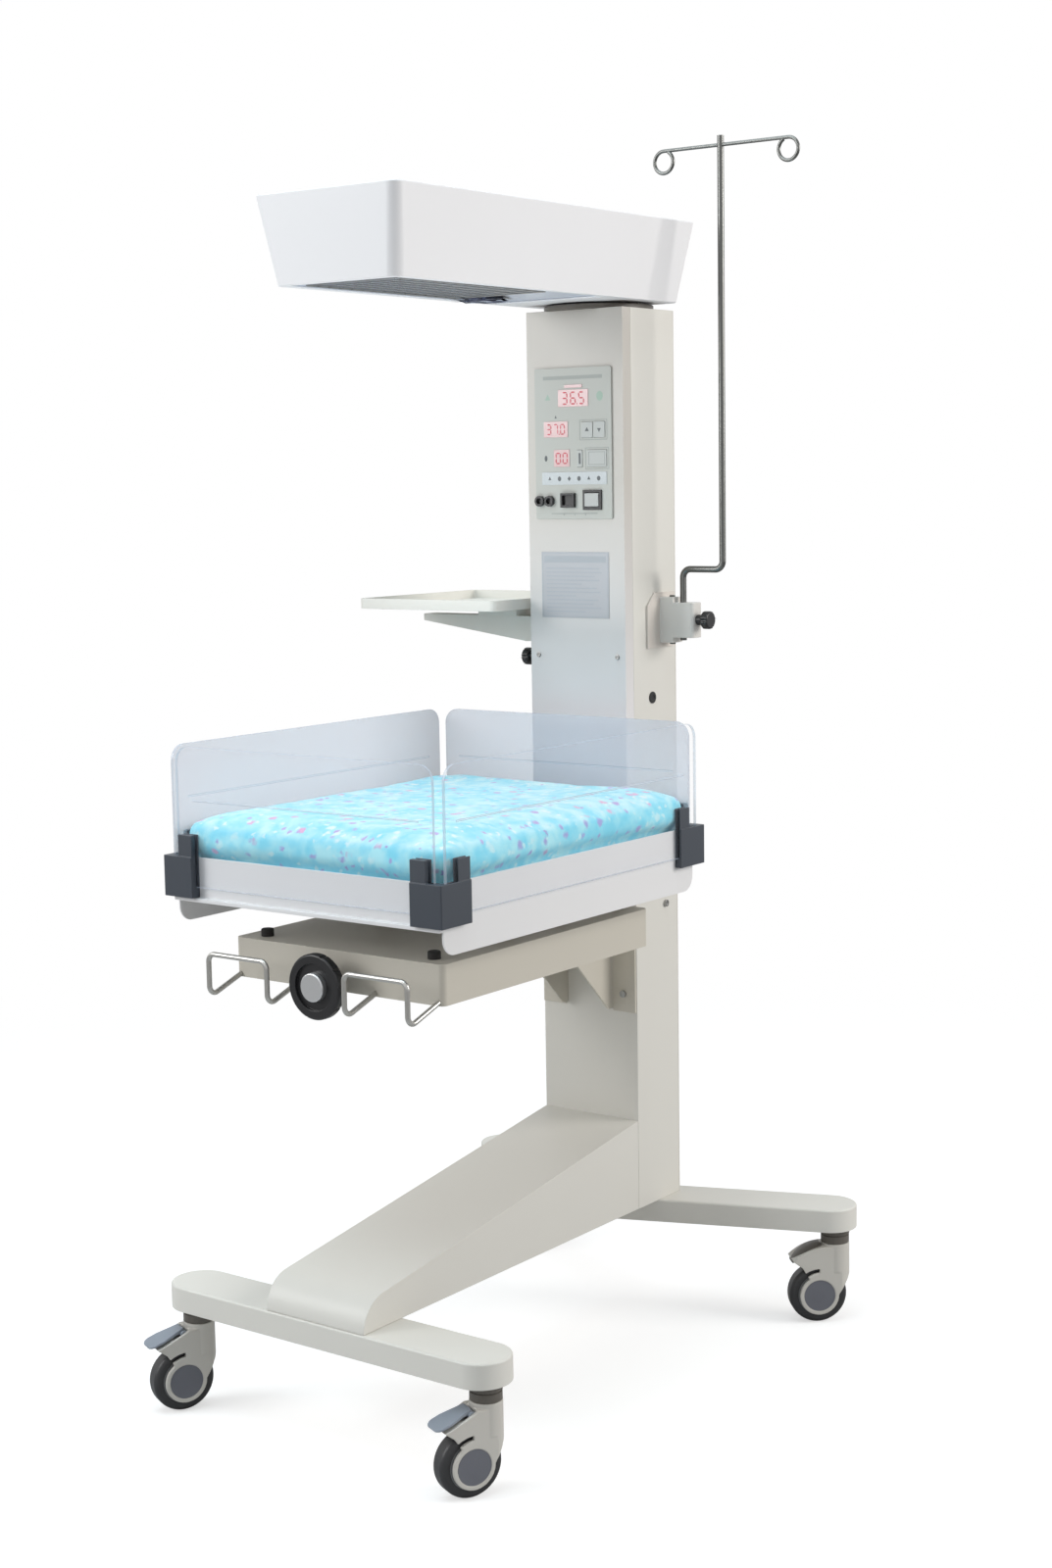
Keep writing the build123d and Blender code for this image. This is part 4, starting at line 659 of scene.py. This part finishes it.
for key, shapes in key_marks.items():
    settle(joined(shapes, key + "_print"), key, "key_grey")

# Plate below the panel: a thin anodised sheet glued to the cover, printed with a border, a heading bar
# and plain ruled lines.
plate_metal = coat("plate_metal", srgb(175, 177, 181), rough=0.42, uneven=0.02, metal=0.1)
header_grey = coat("header_grey", srgb(168, 173, 178), rough=0.5, uneven=0.03)
rule_grey = coat("rule_grey", srgb(166, 172, 179), rough=0.5, uneven=0.03)
finish_node("label_plate", plate_metal, 0.2)
plate_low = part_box("label_plate")[0]
on_plate = (plate_low.y, plate_low.z)
rule_left, rule_length, rule_pitch, rule_height, first_rule = -62, 120, 6.6, 1.6, 84
rules = outline(-70, 64, 2, 109, 0.8, on_plate, rule_grey)
rules.append(bar(-66, 60, 93, 104, on_plate, header_grey))
rule_shares = (0.9, 0.94, 0.82, 0.9, 0.6, 0.86, 0.92, 0.5, 0.88, 0.8, 0.93, 0.66)
for row, share in enumerate(rule_shares):
    top = first_rule - row * rule_pitch
    right = rule_left + rule_length * share
    rules.append(bar(rule_left, right, top - rule_height, top, on_plate, rule_grey))
settle(joined(rules, "plate_rules"), "frame", "panel_film")

# Drip pole: a bright steel rod with a jog, and one wire bent into the crossbar and both bag loops.
# A cast clamp block on a plate holds it, bolted through from above and below, with a black star knob.
bright = coat("bright_steel", srgb(106, 107, 105), rough=0.3, uneven=0.02, peel=0.0, metal=1.0, grain=60.0)
clamp_grey = coat("clamp_grey", srgb(224, 222, 217), rough=0.42, uneven=0.02)
finish_node("drip_pole", bright, 0)
# The plate under the clamp block is painted darker and warmer than the block. This is painted shadow cast by the
# block.
shade_painted_plate = coat("shaded_bracket_plate", srgb(218, 211, 203), rough=0.45, uneven=0.02)
bolt_dark = coat("bolt_dark", srgb(96, 98, 94), rough=0.35, uneven=0.05, peel=0.05, metal=0.7)
clamp = finish_node("pole_bracket", clamp_grey, 1.0)
clamp.data.materials.append(shade_painted_plate)
clamp.data.materials.append(bolt_dark)
clamp_low, clamp_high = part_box("pole_bracket")
sheet_thickness, bolt_reach = 4.2 * mm, 7.9 * mm
# The faces on the plate's sheet take the painted shadow. The bands above and below take the dark bolt finish.
for face in clamp.data.polygons:
    if face.center.x < clamp_low.x + sheet_thickness:
        face.material_index = 1
    elif not clamp_low.z + bolt_reach < face.center.z < clamp_high.z - bolt_reach:
        face.material_index = 2
finish_node("pole_knob", black_plastic, 0.8)

# Shelf: a deep-edged sheet tray on a tapered folded arm, whose post drops into a clamp on the left of
# the column. The paint is the base's off-white, and the knob is the pole's.
finish_node("shelf_bracket", cream, 1.0)
finish_node("shelf_arm", cream, 0.9)
finish_node("shelf_tray", cream, 0.5)
finish_node("shelf_knob", black_plastic, 0.8)

# Head: a vacuum-formed white hood turns on a spindle and a dark turntable. Inside it a polished
# reflector trough holds the sheathed heater behind a wire guard, with an examination lamp beside it.
hood_white = coat("hood_white", srgb(236, 236, 238), rough=0.36, uneven=0.012, peel=0.06)
mirror_sheet = coat("reflector_sheet", srgb(206, 213, 226), rough=0.3, uneven=0.04, peel=0.05, metal=0.2,
                    drawn=(1, 0.05, 1))
sheath = coat("heater_sheath", srgb(128, 124, 120), rough=0.5, uneven=0.15, peel=0.2, metal=0.6)
hood_corner = 12 * mm
hood_round = 20 * mm
hood_skin = 3 * mm
level_slack = 2.1 * mm
inner_slack, lip_slack, edge_slack = 2.4 * mm, 0.4 * mm, 6 * mm
hood = merged_copy("hood_shell", "hood_shell_finished")
# Its upright corners are opened out from the pressed radius to the moulded one, skin by skin.
hood_low_z, hood_high_z = (pick(v.co.z for v in hood.data.vertices) for pick in (min, max))
hood_outlines = []
for level in (hood_low_z, hood_high_z):
    ring = [v.co for v in hood.data.vertices if abs(v.co.z - level) < level_slack]
    hood_outlines.append((max(c.x for c in ring), min(c.y for c in ring), max(c.y for c in ring)))
for point in hood.data.vertices:
    share = (point.co.z - hood_low_z) / (hood_high_z - hood_low_z)
    half, front, back = (a + (b - a) * share for a, b in zip(*hood_outlines))
    side = 1 if point.co.x > 0 else -1
    end = 1 if point.co.y > (front + back) / 2 else -1
    corner = Vector((side * half, back if end > 0 else front))
    inward = Vector((-side, -end))
    for skin in (0, hood_skin):
        from_old = Vector((point.co.x, point.co.y)) - (corner + inward * (hood_corner + skin))
        in_corner = from_old.x * side > -0.1 * mm and from_old.y * end > -0.1 * mm
        most = hood_corner + (lip_slack if skin else edge_slack)
        if in_corner and hood_corner - inner_slack < from_old.length < most:
            reach = from_old.length - hood_corner + hood_round - skin
            point.co.x, point.co.y = corner + inward * hood_round + from_old.normalized() * reach
            break
soften(hood, 1.2)
hood.data.materials.append(hood_white)
settle(hood, "hood", slot_of["hood_shell"], "hood_shell")
finish_node("hood_turntable", collar_steel, 0.6)
finish_node("hood_spindle", zinc, 0.6)
finish_node("heat_reflector", mirror_sheet, 0.4)
finish_node("heater_element", sheath, 0.5)
guard_low, guard_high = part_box("heater_guard")
guard_middle = (guard_low + guard_high) / 2
guard_size = guard_high - guard_low
guard_wire = guard_size.z / 2
guard_rows = 15


def rod(length, x, y, turn):
    """One straight wire of the guard, with its ends rounded over."""
    bpy.ops.object.select_all(action="DESELECT")
    bpy.ops.mesh.primitive_cylinder_add(
        vertices=16, radius=guard_wire, depth=length, location=(x, y, guard_middle.z), rotation=turn)
    piece = bpy.context.object
    soften(piece, 0.4)
    piece.data.materials.append(zinc)
    return piece


guard_rods = []
for x in (guard_low.x + guard_wire, guard_high.x - guard_wire):
    guard_rods.append(rod(guard_size.y, x, guard_middle.y, (math.pi / 2, 0, 0)))
for row in range(guard_rows):
    y = guard_low.y + guard_wire + (guard_size.y - 2 * guard_wire) * row / (guard_rows - 1)
    guard_rods.append(rod(guard_size.x - 2 * guard_wire, 0, y, (0, math.pi / 2, 0)))
settle(joined(guard_rods, "heater_guard_wires"), "hood", "heater_steel", "heater_guard")

# Examination lamp: a dark moulded bezel with a sunk lens of frosted plastic. It is screwed up under the
# hood and shines on the bed.
lamp_blue = coat("lamp_bezel", srgb(74, 80, 104), rough=0.35, uneven=0.08)
lamp_lens = coat("lamp_lens", srgb(196, 204, 220), rough=0.3, uneven=0.03)
bezel_width = 5 * mm
lens_sink = 1.6 * mm
lens_seat = 1.5 * mm
bezel = merged_copy("exam_lamp", "exam_lamp_finished")
for face in bezel.data.polygons:
    face.select = face.normal.z < -facing
bpy.ops.object.mode_set(mode="EDIT")
bpy.ops.mesh.select_mode(type="FACE")
bpy.ops.mesh.inset(thickness=bezel_width, depth=0)
bpy.ops.mesh.inset(thickness=lens_seat, depth=-lens_sink)
bpy.ops.object.mode_set(mode="OBJECT")
bezel.data.materials.append(lamp_blue)
bezel.data.materials.append(lamp_lens)
for face in bezel.data.polygons:
    face.material_index = 1 if face.select else 0
soften(bezel, 0.5)
settle(bezel, "hood", "black_plastic", "exam_lamp")

# Bed support: a closed box arm welded to the column, with two gussets, rubber buffers, bent wire
# hooks and the tilt handwheel in front. The tilt ears and pins stand on top of the arm.
# The arm, gussets and tilt brackets take a darker cream than the base. This is painted shade from the tray above
# them.
shade_painted_cream = coat("shaded_cream", srgb(204, 199, 187), rough=0.45, uneven=0.02)
finish_node("bed_support_arm", shade_painted_cream, 1.0)
finish_node("support_gussets", shade_painted_cream, 0.7)
finish_node("tilt_brackets", shade_painted_cream, 0.7)
hook_steel = coat("hook_steel", srgb(186, 185, 181), rough=0.32, uneven=0.05, peel=0.05, metal=0.9)
finish_node("wire_hooks", hook_steel, 0)
buffer_rubber = coat("buffer_rubber", srgb(38, 37, 36), rough=0.7, uneven=0.1, peel=0.3)
finish_node("bed_buffers", buffer_rubber, 0.5)
finish_node("handwheel_rim", black_plastic, 0.8)
hub_silver = coat("hub_silver", srgb(206, 207, 208), rough=0.3, uneven=0.04, peel=0.04, metal=0.8)
finish_node("handwheel_hub", hub_silver, 0.6)

# Bed tray: a box folded from sheet steel with a rolled lip at the foot, painted off-white. It hangs on
# the tilt pins and carries the mattress.
tray_white = coat("tray_white", srgb(232, 232, 233), rough=0.4, uneven=0.015)
finish_node("bed_tray", tray_white, 0.8)

# Corner brackets: slate grey plastic mouldings, one round each corner of the tray. Each is slotted for
# the two clear walls that meet there.
slate = coat("slate_plastic", srgb(60, 66, 75), rough=0.42, uneven=0.06, peel=0.15)
finish_node("corner_brackets", slate, 1.0)

# Walls: four clear acrylic sheets with polished edges, standing in the brackets' slots. The broad
# faces are clear with a cool tint, and the edges gather light and look denser.
acrylic_index = 1.49
groove_least = 0.3 * mm


def acrylic(name, colour, alpha, rough):
    """Clear plastic: a thin tint and a gloss that handling has left a little uneven."""
    made = coat(name, colour, rough=rough, uneven=0.02, peel=0.0)
    shader = made.node_tree.nodes["Principled BSDF"]
    shader.inputs["Alpha"].default_value = alpha
    shader.inputs["IOR"].default_value = acrylic_index
    made.surface_render_method = "BLENDED"
    return made


tinted_face = acrylic("acrylic_tinted", srgb(226, 224, 231), 0.48, 0.1)
clear_face = acrylic("acrylic_face", srgb(214, 222, 236), 0.04, 0.1)
clear_edge = acrylic("acrylic_edge", srgb(196, 206, 220), 0.5, 0.2)
milled = acrylic("acrylic_groove", srgb(240, 244, 250), 0.5, 0.5)
for wall, across in (("wall_front", 1), ("wall_back", 1), ("wall_left", 0), ("wall_right", 0)):
    sheet = merged_copy(wall, wall + "_finished")
    soften(sheet, 0.7)
    sheet.data.materials.append(tinted_face if wall in ("wall_back", "wall_left") else clear_face)
    sheet.data.materials.append(clear_edge)
    sheet.data.materials.append(milled)
    low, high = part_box(wall)
    for face in sheet.data.polygons:
        inside = low[across] + groove_least < face.center[across] < high[across] - groove_least
        if abs(face.normal[across]) > 0.95:
            face.material_index = 2 if inside else 0
        else:
            face.material_index = 1
    settle(sheet, wall, "clear_acrylic", wall)

# Mattress: a foam slab in a sewn cotton cover with a light blue ground and a scatter of soft blots. Its
# sides carry a painted shade in deeper blue. It lies loose on the tray, flat below and filled out above the rim.
pad_voxel = 6 * mm
pad_start_share = 0.985
pad_pressure = 2.0
pad_steps = 20
pad_cap = 4 * mm
pad = merged_copy("mattress", "mattress_cover")
pad_low, pad_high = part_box("mattress")
pad_middle = (pad_low + pad_high) / 2
shrink = Matrix.Translation(pad_middle) @ Matrix.Scale(pad_start_share, 4) @ Matrix.Translation(-pad_middle)
pad.data.transform(shrink)
pad.data.remesh_voxel_size = pad_voxel
bpy.ops.object.voxel_remesh()
ease = pad.modifiers.new("ease", "SMOOTH")
ease.iterations = 2
bpy.ops.object.modifier_apply(modifier="ease")
before = [point.co.copy() for point in pad.data.vertices]
filling = pad.modifiers.new("filling", "CLOTH")
filling.settings.quality = 6
filling.settings.use_pressure = True
filling.settings.uniform_pressure_force = pad_pressure
filling.settings.effector_weights.gravity = 0
for step in range(1, pad_steps + 1):
    scene.frame_set(step)
bpy.ops.object.modifier_apply(modifier="filling")
scene.frame_set(1)
for point, was in zip(pad.data.vertices, before):
    moved = point.co - was
    if moved.length > pad_cap:
        point.co = was + moved.normalized() * pad_cap
rim_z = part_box("bed_tray")[1].z
pad_half = (pad_high - pad_low) / 2
pad_spread = Vector((16, 13, 0)) * mm
pad_limit = Vector((9, 6, 0)) * mm
pad_edge_band = 0.2
pad_edge_drop = 17 * mm
pad_edge_reach = 80 * mm
pad_edge_lift = 11 * mm
pad_foot_lift, rim_gap = 0.2 * mm, 1 * mm
swell_height = 12 * mm
lumps = ((9, 1.6 * mm), (31, 0.5 * mm))
for point in pad.data.vertices:
    top_share = max(0.0, (point.co.z - pad_low.z) / (pad_high.z - pad_low.z))
    wave = sum(noise.noise(point.co * scale) * height for scale, height in lumps)
    point.co.z += wave * top_share
    above_rim = min(1.0, max(0.0, (point.co.z - rim_z - rim_gap) / swell_height))
    inward = min(pad_half[axis] - abs(point.co[axis] - pad_middle[axis]) for axis in (0, 1))
    drooped = 1 - min(1.0, max(0.0, inward / pad_edge_reach))
    edge_z = pad_high.z - pad_edge_drop * drooped
    point.co.z += pad_edge_lift * drooped * min(1.0, max(0.0, (point.co.z - rim_z) / (edge_z - rim_z)))
    for axis in (0, 1):
        off = (point.co[axis] - pad_middle[axis]) / pad_half[axis]
        edge_share = max(0.0, (abs(off) - 1 + pad_edge_band) / pad_edge_band)
        moved = abs(off) * pad_half[axis] + pad_spread[axis] * above_rim * min(1.0, edge_share)
        most = pad_half[axis] + (pad_limit[axis] * above_rim if above_rim > 0 else -0.5 * mm)
        point.co[axis] = pad_middle[axis] + math.copysign(min(moved, most), off)
    point.co.z = max(point.co.z, pad_low.z + pad_foot_lift)
finer = pad.modifiers.new("finer", "SUBSURF")
finer.levels = finer.render_levels = 1
only(pad)
bpy.ops.object.modifier_apply(modifier="finer")
bpy.ops.object.shade_smooth()
# Faces that turn away from straight up are marked, so that the mattress's sides can take a painted shade.
side_shade = pad.data.attributes.new("side_shade", "FLOAT", "POINT")
side_shade_from, side_shade_to = 0.8, 0.4
for point, share in zip(pad.data.vertices, side_shade.data):
    share.value = min(1.0, max(0.0, (side_shade_from - point.normal.z) / (side_shade_from - side_shade_to)))
cotton = bpy.data.materials.new("printed_cotton")
cotton.use_nodes = True
nodes = cotton.node_tree.nodes
link = cotton.node_tree.links.new
shader = nodes["Principled BSDF"]
shader.inputs["Roughness"].default_value = 0.82
shader.inputs["Sheen Weight"].default_value = 0.2
shader.inputs["Specular IOR Level"].default_value = 0.25
spot = nodes.new("ShaderNodeTexCoord")
ground_cloud = nodes.new("ShaderNodeTexNoise")
ground_cloud.inputs["Scale"].default_value = 34.0
ground_cloud.inputs["Detail"].default_value = 2.0
link(spot.outputs["Object"], ground_cloud.inputs["Vector"])
patches = nodes.new("ShaderNodeMapRange")
patches.interpolation_type = "SMOOTHSTEP"
patches.inputs["From Min"].default_value = 0.3
patches.inputs["From Max"].default_value = 0.74
link(ground_cloud.outputs["Fac"], patches.inputs["Value"])
ground = nodes.new("ShaderNodeMix")
ground.data_type = "RGBA"
ground.inputs["A"].default_value = srgb(150, 229, 248)
ground.inputs["B"].default_value = srgb(212, 248, 253)
link(patches.outputs[0], ground.inputs["Factor"])
layer = ground.outputs["Result"]


def blots(layer, scale, size, soft, colours, offset):
    """Lays a scatter of soft blots over a layer: one per cell, each in one of a few colours."""
    shifted = nodes.new("ShaderNodeMapping")
    shifted.inputs["Location"].default_value = (offset, offset * 0.7, offset * 0.4)
    link(spot.outputs["Object"], shifted.inputs["Vector"])
    wobble = nodes.new("ShaderNodeTexNoise")
    wobble.inputs["Scale"].default_value = scale * 2.4
    link(shifted.outputs["Vector"], wobble.inputs["Vector"])
    pushed = nodes.new("ShaderNodeMix")
    pushed.data_type = "VECTOR"
    pushed.inputs["Factor"].default_value = 0.012
    link(shifted.outputs["Vector"], pushed.inputs["A"])
    link(wobble.outputs["Color"], pushed.inputs["B"])
    cells = nodes.new("ShaderNodeTexVoronoi")
    cells.inputs["Scale"].default_value = scale
    link(pushed.outputs["Result"], cells.inputs["Vector"])
    mask = nodes.new("ShaderNodeMapRange")
    mask.interpolation_type = "SMOOTHSTEP"
    mask.inputs["From Min"].default_value = size
    mask.inputs["From Max"].default_value = size - soft
    link(cells.outputs["Distance"], mask.inputs["Value"])
    hue = nodes.new("ShaderNodeValToRGB")
    hue.color_ramp.interpolation = "CONSTANT"
    while len(hue.color_ramp.elements) < len(colours):
        hue.color_ramp.elements.new(0.5)
    for place, colour in enumerate(colours):
        hue.color_ramp.elements[place].position = place / len(colours)
        hue.color_ramp.elements[place].color = colour
    pick = nodes.new("ShaderNodeSeparateColor")
    link(cells.outputs["Color"], pick.inputs["Color"])
    link(pick.outputs["Red"], hue.inputs["Fac"])
    over = nodes.new("ShaderNodeMix")
    over.data_type = "RGBA"
    link(mask.outputs[0], over.inputs["Factor"])
    link(layer, over.inputs["A"])
    link(hue.outputs["Color"], over.inputs["B"])
    return over.outputs["Result"]


sky = srgb(176, 236, 250)
pink, lilac, pale = srgb(232, 178, 214), srgb(196, 178, 228), srgb(232, 248, 251)
layer = blots(layer, 38.0, 0.34, 0.2, [pale, sky, pink, sky, lilac], 0.3)
layer = blots(layer, 62.0, 0.34, 0.2, [pale, sky, lilac, pale], 1.7)
side_shade_attribute = nodes.new("ShaderNodeAttribute")
side_shade_attribute.attribute_name = "side_shade"
# The marked sides are darkened to a deeper blue as painted shade.
painted_side_shade = nodes.new("ShaderNodeMix")
painted_side_shade.data_type = "RGBA"
painted_side_shade.blend_type = "MULTIPLY"
painted_side_shade.inputs["B"].default_value = (0.7, 0.95, 1.0, 1)
link(side_shade_attribute.outputs["Fac"], painted_side_shade.inputs["Factor"])
link(layer, painted_side_shade.inputs["A"])
link(painted_side_shade.outputs["Result"], shader.inputs["Base Color"])
weave_period = 1.6 * mm
weave_scale = 2 * math.pi / 20 / weave_period
threads = []
for axis in ("X", "Y"):
    thread = nodes.new("ShaderNodeTexWave")
    thread.bands_direction = axis
    thread.inputs["Scale"].default_value = weave_scale
    link(spot.outputs["Object"], thread.inputs["Vector"])
    threads.append(thread)
crossed = nodes.new("ShaderNodeMath")
crossed.operation = "ADD"
link(threads[0].outputs["Fac"], crossed.inputs[0])
link(threads[1].outputs["Fac"], crossed.inputs[1])
bump = nodes.new("ShaderNodeBump")
bump.inputs["Strength"].default_value = 0.25
bump.inputs["Distance"].default_value = 0.2 * mm
link(crossed.outputs[0], bump.inputs["Height"])
link(bump.outputs["Normal"], shader.inputs["Normal"])
pad.data.materials.clear()
pad.data.materials.append(cotton)
settle(pad, "bed", "mattress_cloth", "mattress")
